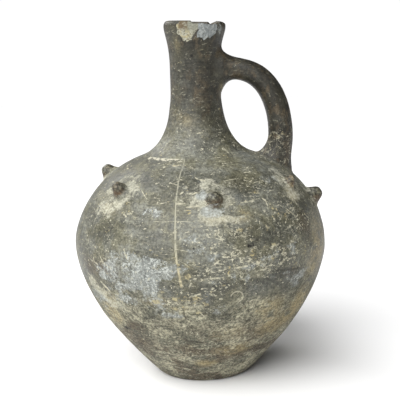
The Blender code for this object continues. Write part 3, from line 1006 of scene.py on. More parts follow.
# %% Short words for the material's nodes
class Finish:
    """Adds nodes to one material. Each word gives back the socket it made."""

    def __init__(self, material):
        material.use_nodes = True
        self.nodes = material.node_tree.nodes
        self.join = material.node_tree.links.new
        self.place = self.nodes.new("ShaderNodeTexCoord").outputs["Object"]
        self.grain = self.mask("grain", "Vector")
        self.seed = 0

    def feed(self, socket, value):
        """Gives a socket a link, a colour or a number, whichever the value is."""
        if isinstance(value, bpy.types.NodeSocket):
            self.join(value, socket)
        elif socket.type == "RGBA":
            socket.default_value = (*value, 1)
        else:
            socket.default_value = value

    def mask(self, name, output="Fac"):
        """What the points carry under this name."""
        node = self.nodes.new("ShaderNodeAttribute")
        node.attribute_name = name
        return node.outputs[output]

    def math(self, operation, *values):
        """One sum of one, two or three values."""
        node = self.nodes.new("ShaderNodeMath")
        node.operation = operation
        for socket, value in zip(node.inputs, values):
            self.feed(socket, value)
        return node.outputs[0]

    def times(self, *values):
        """The product: for masks, the place where all of them lie."""
        total = values[0]
        for value in values[1:]:
            total = self.math("MULTIPLY", total, value)
        return total

    def plus(self, one, other):
        """The sum of two values."""
        return self.math("ADD", one, other)

    def minus(self, one, other):
        """The difference of two values."""
        return self.math("SUBTRACT", one, other)

    def most(self, one, other):
        """The higher of two values: for masks, the place where either lies."""
        return self.math("MAXIMUM", one, other)

    def swing(self, value, reach):
        """Moves a noise to lie round zero, the whole swing as wide as the reach."""
        return self.times(self.minus(value, 0.5), reach)

    def cut(self, value, low, high):
        """0 below low, 1 above high, and soft between. With low over high it falls instead."""
        node = self.nodes.new("ShaderNodeMapRange")
        node.interpolation_type = "SMOOTHSTEP"
        start, end = (0.0, 1.0) if high > low else (1.0, 0.0)
        for name, number in (("From Min", min(low, high)), ("From Max", max(low, high)),
                             ("To Min", start), ("To Max", end)):
            node.inputs[name].default_value = number
        self.feed(node.inputs["Value"], value)
        return node.outputs["Result"]

    def noise(self, size, detail=3, roughness=0.55, stretch=(1, 1, 1), source=None, twist=0.0):
        """Noise with spots of about this size in metres, drawn out by the stretch."""
        self.seed += 1
        mapping = self.nodes.new("ShaderNodeMapping")
        shift = (self.seed * 3.7, self.seed * 1.9, -self.seed * 2.3)
        mapping.inputs["Location"].default_value = shift
        mapping.inputs["Scale"].default_value = [1 / (size * way) for way in stretch]
        self.join(source or self.place, mapping.inputs["Vector"])
        node = self.nodes.new("ShaderNodeTexNoise")
        node.inputs["Scale"].default_value = 1.0
        node.inputs["Detail"].default_value = detail
        node.inputs["Roughness"].default_value = roughness
        node.inputs["Distortion"].default_value = twist
        self.join(mapping.outputs[0], node.inputs["Vector"])
        return node.outputs["Fac"]

    def blend(self, share, under, over):
        """Lays one colour over another by a share."""
        node = self.nodes.new("ShaderNodeMix")
        node.data_type = "RGBA"
        for number, value in ((0, share), (6, under), (7, over)):
            self.feed(node.inputs[number], value)
        return node.outputs[2]

    def between(self, share, under, over):
        """The same for two numbers: under where the share is 0, over where it is 1."""
        node = self.nodes.new("ShaderNodeMix")
        for number, value in ((0, share), (2, under), (3, over)):
            self.feed(node.inputs[number], value)
        return node.outputs[0]

    def shaded(self, colour, factor):
        """A colour made lighter or darker."""
        node = self.nodes.new("ShaderNodeVectorMath")
        node.operation = "SCALE"
        self.feed(node.inputs[0], colour)
        self.feed(node.inputs["Scale"], factor)
        return node.outputs[0]


paint = Finish(clay)
place_parts = paint.nodes.new("ShaderNodeSeparateXYZ")
paint.join(paint.place, place_parts.inputs[0])
at_x, at_y, at_height = place_parts.outputs


def by_height(low, high):
    """0 below one height, 1 above the other. It falls where low is over high."""
    return paint.cut(at_height, low, high)


off_wall = paint.most(paint.mask("on_handle"), paint.mask("on_knob"))
print("the finish starts with", len(paint.nodes), "nodes")

# %% [markdown]
# The ground colour comes first: two greys in soft clouds, an olive cast and a bluish one, and
# darker smoke towards the neck and over the handle and the knobs. Then the strokes of the
# burnishing stone go over it. They change the shine more than the colour, so the same noise is kept
# to use for the roughness. Grit breaks the grey up, most of all on the knobs, and on the undersides
# of the knobs the soot has rubbed off and the clay shows brown.

# %% Smoke-fired ground
SMOKE_GREY = (0.156, 0.157, 0.128)
DEEP_GREY = (0.078, 0.078, 0.060)
OLIVE = (0.122, 0.116, 0.074)
BLUE_GREY = (0.128, 0.136, 0.126)
SOOT = (0.014, 0.012, 0.008)
STAIN_BROWN = (0.088, 0.066, 0.038)
RUBBED_BROWN = (0.085, 0.050, 0.022)

clouds = paint.noise(0.026, 7, 0.62, (1.5, 1.5, 1))
colour = paint.blend(paint.cut(clouds, 0.38, 0.62), DEEP_GREY, SMOKE_GREY)
cast = paint.noise(0.020, 5, 0.65)
colour = paint.blend(paint.times(paint.cut(cast, 0.46, 0.60), 0.7), colour, OLIVE)
colour = paint.blend(paint.times(paint.cut(cast, 0.42, 0.34), 0.5), colour, BLUE_GREY)
# the dark mask also lays painted shade on the right of the knob at 62 degrees
colour = paint.shaded(colour, paint.between(paint.mask("dark"), 1.06, 0.62))
smoke_rise = by_height(0.196, 0.246)
smoke = paint.most(paint.times(smoke_rise, 0.90), paint.times(off_wall, 0.95))
smoke_clouds = paint.cut(paint.noise(0.016, 6, 0.66, (1, 1, 1.4)), 0.34, 0.62)
smoke = paint.times(
    smoke, paint.between(smoke_clouds, 1.0, 0.80),
    # thinner soot, and painted light and sheen on the left of the neck
    paint.between(paint.mask("clear"), 1.0, 0.60),
    paint.between(paint.mask("on_knob"), 1.0, 0.80),
)
colour = paint.blend(smoke, colour, SOOT)
stain = paint.times(paint.cut(paint.noise(0.008, 6, 0.70, (1, 1, 1.8)), 0.50, 0.62), smoke, 0.7)
colour = paint.blend(stain, colour, STAIN_BROWN)

strokes = paint.noise(0.0015, 5, 0.72, (6, 6, 1), paint.grain, 0.5)
broad_strokes = paint.noise(0.0040, 3, 0.6, (7, 7, 1), paint.grain, 0.3)
stroke_tone = paint.plus(
    paint.between(paint.cut(strokes, 0.36, 0.64), 0.80, 1.18),
    paint.between(paint.cut(broad_strokes, 0.35, 0.65), -0.05, 0.05),
)
colour = paint.shaded(colour, stroke_tone)
grit = paint.noise(0.0021, 5, 0.80)
mottle = paint.noise(0.0056, 6, 0.72, (1.4, 1.4, 1))
fine_tone = paint.plus(
    paint.between(paint.cut(grit, 0.41, 0.59), 0.64, 1.38),
    paint.between(paint.cut(mottle, 0.40, 0.60), -0.14, 0.14),
)
sooty_tone = paint.math("MULTIPLY_ADD", fine_tone, 0.7, 0.3)
colour = paint.shaded(colour, paint.between(smoke, fine_tone, sooty_tone))
knob_grit = paint.between(paint.mask("on_knob"), 1.0,
                          paint.between(paint.cut(grit, 0.44, 0.60), 0.75, 2.6))
colour = paint.shaded(colour, knob_grit)
rubbed_brown = paint.times(paint.mask("under_knob"), paint.cut(mottle, 0.40, 0.52), 0.85)
colour = paint.blend(rubbed_brown, colour, RUBBED_BROWN)
print("ground and strokes:", len(paint.nodes), "nodes")

# %% [markdown]
# Low on the belly the burnish has worn off. The bare clay there is a mottled beige and greenish
# grey with smears that run sideways and brown blotches, and it is quite dull. The edge between the
# two is a height that noise pushes up and down, so that it wanders. The tan and brown patches that
# are known by place come last, each broken up by its own noise.

# %% Worn clay low on the belly
BARE_BEIGE = (0.300, 0.284, 0.202)
BARE_GREEN = (0.108, 0.106, 0.076)
BLOTCH_BROWN = (0.085, 0.067, 0.043)
WARM_TAN = (0.288, 0.236, 0.122)

wander = paint.swing(paint.noise(0.030, 6, 0.68), 0.085)
worn = paint.cut(paint.plus(at_height, wander), 0.104, 0.074)
worn = paint.times(worn, paint.between(paint.mask("inside"), 1.0, 0.0))
patches = paint.plus(
    paint.times(paint.noise(0.026, 9, 0.80, (1.2, 1.2, 1)), 0.65),
    paint.times(paint.noise(0.0044, 7, 0.80, (1, 1, 1.5)), 0.35),
)
bare = paint.blend(paint.cut(patches, 0.45, 0.56), BARE_GREEN, BARE_BEIGE)
wide_clouds = paint.cut(paint.noise(0.028, 3, 0.5, (1.2, 1.2, 1)), 0.38, 0.62)
bare = paint.shaded(bare, paint.between(wide_clouds, 0.78, 1.18))
smears = paint.cut(paint.noise(0.0026, 4, 0.7, (4.5, 4.5, 1)), 0.42, 0.58)
bare = paint.shaded(bare, paint.between(smears, 0.78, 1.20))
blotches = paint.cut(paint.noise(0.012, 7, 0.72, (1.9, 1.9, 1)), 0.50, 0.58)
low_down = by_height(0.078, 0.040)
bare = paint.blend(paint.times(blotches, low_down, 0.9), bare, BLOTCH_BROWN)
bare = paint.shaded(bare, paint.between(paint.cut(grit, 0.41, 0.59), 0.46, 1.60))
colour = paint.blend(paint.times(worn, 0.9), colour, bare)
colour = paint.shaded(colour, paint.between(paint.times(paint.mask("dark"), worn), 1.0, 0.66))

warm = paint.times(paint.mask("warm"),
                   paint.cut(paint.noise(0.009, 8, 0.74, (1.4, 1.4, 1)), 0.37, 0.53))
colour = paint.blend(paint.times(warm, 0.88), colour, paint.shaded(WARM_TAN, fine_tone))
brown = paint.times(paint.mask("brown"),
                    paint.cut(paint.noise(0.009, 8, 0.72, (1.6, 1.6, 1)), 0.38, 0.54))
colour = paint.blend(paint.times(brown, 0.82), colour, paint.shaded(BLOTCH_BROWN, fine_tone))
print("worn clay:", len(paint.nodes), "nodes")

# %% [markdown]
# The bloom is a thin skin of bluish-white mineral that grew on the pot in wet ground. It has two
# parts: a grey-blue film in clouds, and on it whiter grains, which stand closer where the film is
# thick. So one mask is used twice, softly for the film and sharply for the grains.

# %% Chalky bloom
FILM_BLUE = (0.240, 0.256, 0.242)
GRAIN_WHITE = (0.520, 0.540, 0.500)

chalk_mask = paint.mask("chalk")
chalk_clouds = paint.plus(paint.noise(0.0150, 9, 0.72, (1.3, 1.3, 1)),
                          paint.times(chalk_mask, 0.17))
film = paint.times(paint.cut(chalk_clouds, 0.57, 0.69), paint.cut(chalk_mask, 0.02, 0.25))
colour = paint.blend(paint.times(film, 0.70), colour, paint.shaded(FILM_BLUE, fine_tone))
clusters = paint.cut(paint.noise(0.0120, 5, 0.7), 0.42, 0.62)
chalk_grains = paint.plus(paint.noise(0.0021, 5, 0.78), paint.times(film, clusters, 0.07))
chalk = paint.times(paint.cut(chalk_grains, 0.555, 0.605), paint.cut(film, 0.05, 0.5))
colour = paint.blend(paint.times(chalk, 0.85), colour, GRAIN_WHITE)
print("bloom:", len(paint.nodes), "nodes")

# %% [markdown]
# Lime sits in every scratch and pore. It makes four kinds of mark: short strokes along the grain,
# crusts with a ragged edge, fine broken threads, and single crumbs. A crust is the part of a very
# rough noise that rises over a level, and where more lime lies, the level is lower. A thread is
# the thin zone where a noise passes its own middle value.

# %% Strokes, crusts, threads and crumbs of lime
LIME_CREAM = (0.590, 0.560, 0.420)
LIME_YELLOW = (0.480, 0.400, 0.200)

dense = paint.mask("crumbs")


def risen(value, helper, share, low, high):
    """Where a noise rises over a level that the helper mask lowers."""
    return paint.cut(paint.plus(value, paint.times(helper, share)), low, high)


def threads(size, width, stretch=(1, 1, 1)):
    """Winding thin lines: 1 on the line and 0 beside it."""
    value = paint.noise(size, 3, 0.55, stretch, None, 0.5)
    return paint.cut(paint.math("ABSOLUTE", paint.minus(value, 0.5)), width, width * 0.3)


dashes = paint.cut(paint.noise(0.0015, 3, 0.6, (3.6, 3.6, 1), paint.grain, 1.1), 0.620, 0.655)
dash_groups = risen(paint.noise(0.013, 4, 0.65, (1.6, 1.6, 1)), dense, 0.14, 0.47, 0.56)
on_shoulder = paint.most(by_height(0.128, 0.150), paint.mask("on_handle"))
dashes = paint.times(dashes, dash_groups, paint.between(on_shoulder, 0.25, 1.0))
crusts = risen(paint.noise(0.0036, 8, 0.80, (1.5, 1.5, 1)), dense, 0.070, 0.615, 0.650)
crusts = paint.times(crusts, paint.between(dense, 0.35, 1.0))
pieces = risen(paint.noise(0.0050, 5, 0.7), dense, 0.06, 0.52, 0.58)
net = paint.times(threads(0.013, 0.012, (1.6, 1.6, 1)), pieces, paint.between(dense, 0.35, 0.9))
specks = risen(paint.noise(0.0024, 4, 0.72, (1.4, 1.4, 1)), dense, 0.05, 0.630, 0.655)
lime = paint.most(paint.most(dashes, net), paint.most(crusts, specks))
lime = paint.times(
    lime, paint.between(paint.mask("inside"), 1.0, 0.3),
    paint.between(paint.mask("on_knob"), 1.0, 0.25),
    paint.between(smoke, 1.0, paint.between(dense, 0.12, 0.8)),
)
lime_tint = paint.blend(paint.cut(paint.noise(0.011, 3, 0.6), 0.54, 0.68), LIME_CREAM, LIME_YELLOW)
colour = paint.blend(paint.times(lime, 0.88), colour, lime_tint)
print("lime:", len(paint.nodes), "nodes")

# %% [markdown]
# Round each knob nobody could rub the dirt away, so lime is packed there in a ragged ring, cream
# above and bluish below. The knobs themselves kept their soot and stand out dark.

# %% Lime round the knobs
RING_CREAM = (0.560, 0.545, 0.430)
RING_BLUE = (0.500, 0.525, 0.490)

packed = paint.most(paint.times(paint.mask("near_knob"), 0.65), paint.mask("halo"))
packed = paint.times(packed, paint.between(paint.mask("on_knob"), 1.0, 0.0))
ring_noise = paint.plus(paint.noise(0.0070, 9, 0.82, (1.4, 1.4, 1)),
                        paint.times(packed, 0.16))
ring = paint.times(paint.cut(ring_noise, 0.560, 0.650), paint.cut(packed, 0.02, 0.30))
ring_crumbs = paint.cut(paint.noise(0.0019, 5, 0.78), 0.42, 0.56)
ring = paint.times(ring, paint.between(ring_crumbs, 0.35, 1.0))
ring_tint = paint.blend(paint.cut(chalk_mask, 0.15, 0.6), RING_CREAM, RING_BLUE)
colour = paint.blend(paint.times(ring, 0.82), colour, ring_tint)
print("rings:", len(paint.nodes), "nodes")

# %% [markdown]
# One long pale scratch runs down the front, and a short one lies along the foot of the neck. A
# scratch is a thin zone round a path, so we need each point's distance from that path. The azimuth
# from the front is an arctangent of the place, and a curve gives the path's azimuth at each height.

# %% The scratch down the front
# (height, azimuth) along the long scratch, from its lower end
SCRATCH = [
    (0.0950, -8.6), (0.1028, -8.8), (0.1150, -9.6), (0.1242, -10.3), (0.1372, -10.8),
    (0.1498, -11.3), (0.1648, -12.1), (0.1740, -12.4), (0.1778, -12.7), (0.1870, -13.1),
    (0.1920, -14.3),
]
# the curve runs from 0 to 1, which stands for these heights and for these degrees
SCRATCH_LOW, SCRATCH_HIGH = 0.095, 0.195
SCRATCH_LEFT, SCRATCH_SPAN = -15, 10

azimuth_of = paint.math("ARCTAN2", at_x, paint.times(at_y, -1.0))
across_x = paint.math("POWER", at_x, 2.0)
across_y = paint.math("POWER", at_y, 2.0)
radius_of = paint.math("SQRT", paint.plus(across_x, across_y))


def by_turn(low, high):
    """The same as by_height, for the azimuth in degrees."""
    return paint.cut(azimuth_of, math.radians(low), math.radians(high))


climb = paint.nodes.new("ShaderNodeMapRange")
climb.inputs["From Min"].default_value = SCRATCH_LOW
climb.inputs["From Max"].default_value = SCRATCH_HIGH
paint.join(at_height, climb.inputs["Value"])
path_curve = paint.nodes.new("ShaderNodeFloatCurve")
path_points = path_curve.mapping.curves[0].points
for level, degrees in SCRATCH:
    path_points.new((level - SCRATCH_LOW) / (SCRATCH_HIGH - SCRATCH_LOW),
                    (degrees - SCRATCH_LEFT) / SCRATCH_SPAN)
path_points.remove(path_points[0])
path_curve.mapping.update()
paint.join(climb.outputs["Result"], path_curve.inputs["Value"])
path_azimuth = paint.math("MULTIPLY_ADD", path_curve.outputs[0],
                          math.radians(SCRATCH_SPAN), math.radians(SCRATCH_LEFT))
waver = paint.swing(paint.noise(0.006, 3, 0.6), 0.0012)
beside = paint.plus(paint.times(paint.minus(azimuth_of, path_azimuth), radius_of), waver)
half_width = paint.between(by_height(0.120, 0.175), 0.00080, 0.00050)
line = paint.cut(paint.minus(paint.math("ABSOLUTE", beside), half_width), 0.00030, -0.00015)
span = paint.times(by_height(0.0995, 0.1025), by_height(0.1925, 0.1895))
gap = paint.most(by_height(0.1170, 0.1155), by_height(0.1180, 0.1200))
worn_through = paint.between(paint.cut(paint.noise(0.0030, 3, 0.7), 0.40, 0.50), 0.45, 1.0)
fading_up = paint.between(by_height(0.170, 0.186), 1.0, 0.55)
scratch = paint.times(line, span, gap, worn_through, fading_up)
print("scratch down the front:", len(paint.nodes), "nodes")

# %% The scratch at the foot of the neck
NECK_SCRATCH = 0.1897
SCRATCH_YELLOW = (0.53, 0.47, 0.30)
SCRATCH_GREY = (0.40, 0.385, 0.295)
NECK_SCRATCH_CREAM = (0.58, 0.55, 0.43)

level = paint.minus(at_height, paint.math("MULTIPLY_ADD", waver, 0.8, NECK_SCRATCH))
neck_line = paint.cut(paint.minus(paint.math("ABSOLUTE", level), 0.0007), 0.0005, -0.0002)
neck_span = paint.times(by_turn(-66, -60), by_turn(-14, -17))
neck_line = paint.times(neck_line, neck_span, paint.cut(paint.noise(0.0042, 3, 0.6), 0.42, 0.50))
scratches = paint.times(paint.most(scratch, neck_line),
                        paint.between(paint.mask("inside"), 1.0, 0.0))
scratch_tint = paint.blend(by_height(0.108, 0.135), SCRATCH_YELLOW, SCRATCH_GREY)
scratch_tint = paint.blend(neck_line, scratch_tint, NECK_SCRATCH_CREAM)
colour = paint.blend(paint.times(scratches, 0.85), colour, scratch_tint)
print("scratches:", len(paint.nodes), "nodes")

# %% [markdown]
# A few small marks are known one by one: pits, yellow spots, and the pale half ring that a broken
# blister left. Each is a distance from a point on the wall, which is found from its azimuth and
# height, so these marks stay sharp however coarse the mesh is.

# %% Distances from places on the wall
def away_from(azimuth_deg, level, long=1.0):
    """Distance from a point on the wall. The mark is drawn out sideways by long."""
    turn = math.radians(azimuth_deg)
    reach = wall_at(np.array([level]))[0][0]
    gap = paint.nodes.new("ShaderNodeVectorMath")
    gap.operation = "SUBTRACT"
    paint.feed(gap.inputs[0], paint.place)
    gap.inputs[1].default_value = (reach * math.sin(turn), -reach * math.cos(turn), level)
    squeeze = paint.nodes.new("ShaderNodeVectorMath")
    squeeze.operation = "MULTIPLY"
    paint.join(gap.outputs[0], squeeze.inputs[0])
    squeeze.inputs[1].default_value = (1 / long, 1 / long, 1)
    length = paint.nodes.new("ShaderNodeVectorMath")
    length.operation = "LENGTH"
    paint.join(squeeze.outputs[0], length.inputs[0])
    return length.outputs["Value"]


def any_of(shares):
    """The highest of many masks, each made when its turn comes and joined at once."""
    total = next(shares)
    for share in shares:
        total = paint.most(total, share)
    return total


def small_marks(listed, core):
    """One mask of all the marks of a list, with ragged edges and full from the core inwards."""
    return any_of(
        paint.cut(paint.plus(away_from(turn, level, long), ragged_edge), size * 1.25, size * core)
        for turn, level, size, long in listed)


ragged_edge = paint.swing(paint.noise(0.0020, 5, 0.75), 0.0070)
print("ragged edge for the small marks:", len(paint.nodes), "nodes")

# %% Pits, spots and a half ring
# (azimuth, height, radius, drawn out by)
PITS = [
    (-46.6, 0.0554, 0.0013, 1.4), (-30.0, 0.0690, 0.0008, 1.6), (21.0, 0.1300, 0.0009, 2.2),
    (-3.0, 0.1310, 0.0007, 1.2), (33.0, 0.0600, 0.0008, 1.0), (150.0, 0.1200, 0.0011, 1.5),
    (-120.0, 0.0900, 0.0010, 1.0), (-6.0, 0.2720, 0.0008, 1.0),
]
SPOTS = [
    (-5.7, 0.1094, 0.0020, 1.1), (-12.0, 0.0905, 0.0013, 1.6), (1.0, 0.0852, 0.0010, 1.9),
    (-4.0, 0.0870, 0.0009, 1.4), (32.5, 0.1280, 0.0011, 1.8), (-17.0, 0.0960, 0.0008, 1.6),
    (9.0, 0.1010, 0.0008, 1.5), (170.0, 0.0950, 0.0015, 1.3), (-20.4, 0.0873, 0.0017, 1.9),
    (-12.6, 0.0817, 0.0014, 1.6), (-3.3, 0.0907, 0.0010, 2.2), (-2.4, 0.0781, 0.0012, 1.7),
    (-9.5, 0.1185, 0.0010, 1.4), (17.4, 0.1421, 0.0012, 1.6), (-11.0, 0.1240, 0.0008, 1.2),
]
HALF_RING_PLACE = (14.8, 0.0900)
HALF_RING_RADIUS = 0.0050
SPOT_YELLOW = (0.510, 0.445, 0.260)
PIT_BLACK = (0.010, 0.009, 0.008)

pits = small_marks(PITS, 0.7)
spots = small_marks(SPOTS, 0.8)
off_ring = paint.math("ABSOLUTE", paint.minus(away_from(*HALF_RING_PLACE), HALF_RING_RADIUS))
half_ring = paint.cut(off_ring, 0.0008, 0.0002)
upper_right = paint.cut(paint.plus(at_height, at_x), 0.1110, 0.1140)
half_ring = paint.times(half_ring, upper_right, paint.cut(paint.noise(0.0040, 4, 0.7), 0.36, 0.46))
spots = paint.times(spots, paint.between(paint.cut(grit, 0.40, 0.52), 0.35, 1.0))
colour = paint.blend(paint.times(spots, 0.80), colour, SPOT_YELLOW)
colour = paint.blend(paint.times(half_ring, 0.50), colour, LIME_CREAM)
colour = paint.blend(paint.times(pits, 0.95), colour, PIT_BLACK)
print("small marks:", len(paint.nodes), "nodes")

# %% [markdown]
# The wall also bears some sixty short knocks and scrapes, and the eye knows the flask by the longer
# ones. Each is written as its two ends and its width. Two dot products turn, shift and stretch
# the unrolled wall until the scrape is a circle one unit wide, and then its mask is a distance from
# the middle. A Mapping node reads more plainly, but Cycles can hold only some 250 numbers at a
# time, sixty mappings side by side need more, and then the whole material comes out black.

# %% Where the short scrapes lie
# (azimuth and height of one end, the same of the other, how wide)
PALE_SCRAPES = [
    (-22.5, 0.1864, -17.5, 0.1859, 0.60), (-27.4, 0.1749, -25.1, 0.1757, 0.80),
    (-17.8, 0.1759, -13.1, 0.1746, 0.55), (-10.4, 0.1687, -8.8, 0.1697, 0.90),
    (-6.0, 0.1687, -1.1, 0.1690, 1.10), (-11.3, 0.1621, -7.7, 0.1624, 0.90),
    (-6.1, 0.1597, -0.2, 0.1605, 0.80), (-34.8, 0.1704, -29.2, 0.1654, 0.45),
    (-21.2, 0.1618, -17.6, 0.1626, 0.55), (-36.9, 0.1535, -34.7, 0.1543, 0.85),
    (-39.0, 0.1529, -36.9, 0.1514, 0.85), (-20.9, 0.1498, -12.7, 0.1501, 0.28),
    (-10.0, 0.1502, -3.6, 0.1498, 0.24), (-48.1, 0.1189, -46.2, 0.1150, 0.80),
    (-46.3, 0.1145, -41.5, 0.1110, 0.50), (-56.4, 0.1145, -54.7, 0.1134, 0.90),
    (-53.1, 0.1132, -50.8, 0.1123, 0.70), (-64.1, 0.1082, -63.9, 0.1048, 0.80),
    (-9.5, 0.1301, -4.5, 0.1285, 0.35), (-34.0, 0.1277, -32.2, 0.1204, 0.80),
    (-61.8, 0.1004, -54.8, 0.0945, 0.60), (-50.1, 0.0963, -45.7, 0.0908, 1.10),
    (17.2, 0.1762, 26.2, 0.1766, 0.50), (34.3, 0.1725, 39.4, 0.1731, 0.45),
    (21.6, 0.1604, 25.1, 0.1609, 0.55), (25.1, 0.1609, 31.2, 0.1617, 0.42),
    (33.9, 0.1619, 35.4, 0.1595, 0.95), (35.4, 0.1595, 34.9, 0.1552, 0.55),
    (46.0, 0.1511, 48.1, 0.1475, 0.80), (48.9, 0.1458, 49.5, 0.1425, 0.80),
    (50.1, 0.1392, 50.6, 0.1363, 0.75), (57.8, 0.1438, 59.8, 0.1400, 0.55),
    (30.9, 0.1267, 34.2, 0.1280, 1.00), (41.6, 0.1280, 42.7, 0.1269, 0.95),
    (46.2, 0.1281, 46.5, 0.1256, 0.95), (14.7, 0.1599, 16.8, 0.1604, 0.55),
    (37.3, 0.1966, 39.1, 0.1927, 0.80), (28.3, 0.1508, 30.0, 0.1508, 0.75),
    (2.0, 0.1073, 8.1, 0.1074, 0.80), (8.4, 0.1238, 10.4, 0.1232, 1.00),
    (14.0, 0.1144, 19.1, 0.1150, 0.90), (-1.6, 0.1789, 3.4, 0.1768, 0.95),
    (-5.4, 0.0926, -1.1, 0.0950, 0.75), (-3.1, 0.0827, 0.3, 0.0742, 0.60),
    (-7.0, 0.0763, -1.7, 0.0714, 0.55), (155.0, 0.1700, 162.0, 0.1720, 0.60),
    (-150.0, 0.1450, -141.0, 0.1430, 0.50), (110.0, 0.1300, 114.0, 0.1240, 0.60),
    (-118.0, 0.1400, -112.0, 0.1420, 0.50), (178.0, 0.1200, 186.0, 0.1190, 0.45),
    (-165.0, 0.0800, -160.0, 0.0760, 0.70),
]
DARK_SCRAPES = [
    (-0.8, 0.1320, 0.5, 0.1328, 0.70), (17.9, 0.0841, 20.9, 0.0769, 0.40),
    (20.9, 0.0769, 25.1, 0.0681, 0.38), (33.6, 0.1072, 45.7, 0.1047, 0.90),
    (-8.7, 0.0791, -8.2, 0.0725, 0.80), (-32.1, 0.0319, -18.3, 0.0323, 0.70),
    (-35.5, 0.0188, -19.7, 0.0182, 0.60), (-7.9, 0.0502, 5.5, 0.0451, 0.80),
    (-44.8, 0.0436, -46.8, 0.0295, 0.80), (140.0, 0.0900, 152.0, 0.0860, 0.60),
    (-140.0, 0.0600, -128.0, 0.0570, 0.70),
]
print("scrapes:", len(PALE_SCRAPES), "pale and", len(DARK_SCRAPES), "dark")

# %% Short scrapes
SCRAPE_PALE = (0.560, 0.530, 0.390)
SCRAPE_DARK = (0.040, 0.036, 0.026)
# half the width of a scrape listed as 1, in metres
LISTED_WIDTH = 0.00085
# how far from its middle a scrape reaches, as a share of its length
REACH_PAST_END = 0.6


def scrape(turn_a, level_a, turn_b, level_b, half_width):
    """A pointed streak between two places on the wall: 1 in its middle, 0 outside."""
    level = (level_a + level_b) / 2
    reach, steepness, _ = (float(v[0]) for v in wall_at(np.array([level])))
    ends = [Vector((math.radians(turn) * reach, up / steepness))
            for turn, up in ((turn_a, level_a), (turn_b, level_b))]
    middle, way = (ends[0] + ends[1]) / 2, ends[1] - ends[0]
    along = way.normalized() / (REACH_PAST_END * way.length)
    across = Vector((-way.y, way.x)).normalized() / (LISTED_WIDTH * half_width)
    distance = frayed
    for axis in (along, across):
        product = paint.nodes.new("ShaderNodeVectorMath")
        product.operation = "DOT_PRODUCT"
        paint.join(unrolled.outputs[0], product.inputs[0])
        product.inputs[1].default_value = (axis.x * reach, axis.y / steepness, -axis.dot(middle))
        part = product.outputs["Value"]
        distance = paint.math("MULTIPLY_ADD", part, part, distance)
    return paint.cut(distance, 1.6, 0.55)


unrolled = paint.nodes.new("ShaderNodeCombineXYZ")
paint.join(azimuth_of, unrolled.inputs["X"])
paint.join(paint.plus(at_height, paint.times(waver, 0.9)), unrolled.inputs["Y"])
unrolled.inputs["Z"].default_value = 1.0
frayed = paint.times(ragged_edge, 850)
chipped = paint.between(paint.cut(paint.noise(0.0024, 4, 0.7), 0.40, 0.56), 0.25, 1.0)
outside_only = paint.between(paint.mask("inside"), 1.0, 0.0)
pale_scrapes = paint.times(any_of(scrape(*one) for one in PALE_SCRAPES), chipped, outside_only)
dark_scrapes = paint.times(any_of(scrape(*one) for one in DARK_SCRAPES), chipped, outside_only)
colour = paint.blend(paint.times(dark_scrapes, 0.75), colour, SCRAPE_DARK)
colour = paint.blend(paint.times(pale_scrapes, 0.82), colour, SCRAPE_PALE)
print("scrapes:", len(paint.nodes), "nodes")

# %% [markdown]
# Last come the broken places. The pale flake is granular and stained yellow and brown, the bluish
# one is smooth with white streaks, and the floors of the two bites are plain rough clay. Inside,
# the wall was never burnished, so it is dull and shows only faint marks of the wheel.

# %% Flakes, breaks and the inside
FLAKE_CREAM = (0.450, 0.440, 0.350)
FLAKE_BLUE = (0.200, 0.218, 0.216)
FRACTURE = (0.135, 0.124, 0.100)
INSIDE_CLAY = (0.092, 0.083, 0.066)
PALE_GAPS = (0.16, 0.145, 0.10)
PALE_GREY = (0.200, 0.205, 0.165)
PALE_BROWN = (0.100, 0.066, 0.032)
BLUE_STREAKS = (0.36, 0.38, 0.365)
BLUE_GAPS = (0.12, 0.12, 0.105)
CRACK_BLACK = (0.030, 0.028, 0.024)

granules = paint.noise(0.0012, 3, 0.7)
pale = paint.blend(paint.cut(granules, 0.36, 0.58), PALE_GAPS, FLAKE_CREAM)
yellowed = paint.times(paint.cut(paint.noise(0.0040, 3, 0.6), 0.50, 0.62), by_turn(0, -14))
pale = paint.blend(paint.times(yellowed, 0.55), pale, LIME_YELLOW)
greyed = paint.times(by_height(0.2890, 0.2960), by_turn(-24, -12), 0.7)
pale = paint.blend(greyed, pale, PALE_GREY)
brown_top = paint.times(by_turn(-8, -14), by_turn(-34, -26), by_height(0.2925, 0.2955),
                        paint.cut(paint.noise(0.0040, 5, 0.7), 0.30, 0.45))
pale = paint.blend(paint.times(brown_top, 0.85), pale, PALE_BROWN)
streaks = paint.cut(paint.noise(0.0022, 4, 0.65, (1, 1, 1.6)), 0.44, 0.62)
blue = paint.blend(streaks, FLAKE_BLUE, BLUE_STREAKS)
blue = paint.blend(paint.cut(granules, 0.46, 0.34), blue, BLUE_GAPS)
colour = paint.blend(paint.cut(paint.mask("broken"), 0.2, 0.7), colour,
                     paint.shaded(FRACTURE, paint.between(granules, 0.6, 1.4)))
colour = paint.blend(paint.cut(paint.mask("blue_flake"), 0.25, 0.75), colour, blue)
colour = paint.blend(paint.cut(paint.mask("pale_flake"), 0.25, 0.75), colour, pale)
cracked = paint.times(paint.cut(paint.mask("crack"), 0.3, 0.9), 0.8)
colour = paint.blend(cracked, colour, CRACK_BLACK)
wheel_marks = paint.between(paint.noise(0.0020, 3, 0.6, (14, 14, 1)), 0.72, 1.28)
inner = paint.shaded(INSIDE_CLAY, wheel_marks)
colour = paint.blend(paint.cut(paint.mask("inside"), 0.35, 0.75), colour, inner)
print("breaks and inside:", len(paint.nodes), "nodes")

# %% [markdown]
# The same masks now say how dull and how rough everything is. Burnished clay is fairly glossy and
# smooth, bare clay and lime are matt and gritty. A Bump node turns a height into a tilt of the
# light, and the height is simply the sum of what each layer adds or takes away, in metres.

# %% Shine and fine relief
GLOSS = 0.38

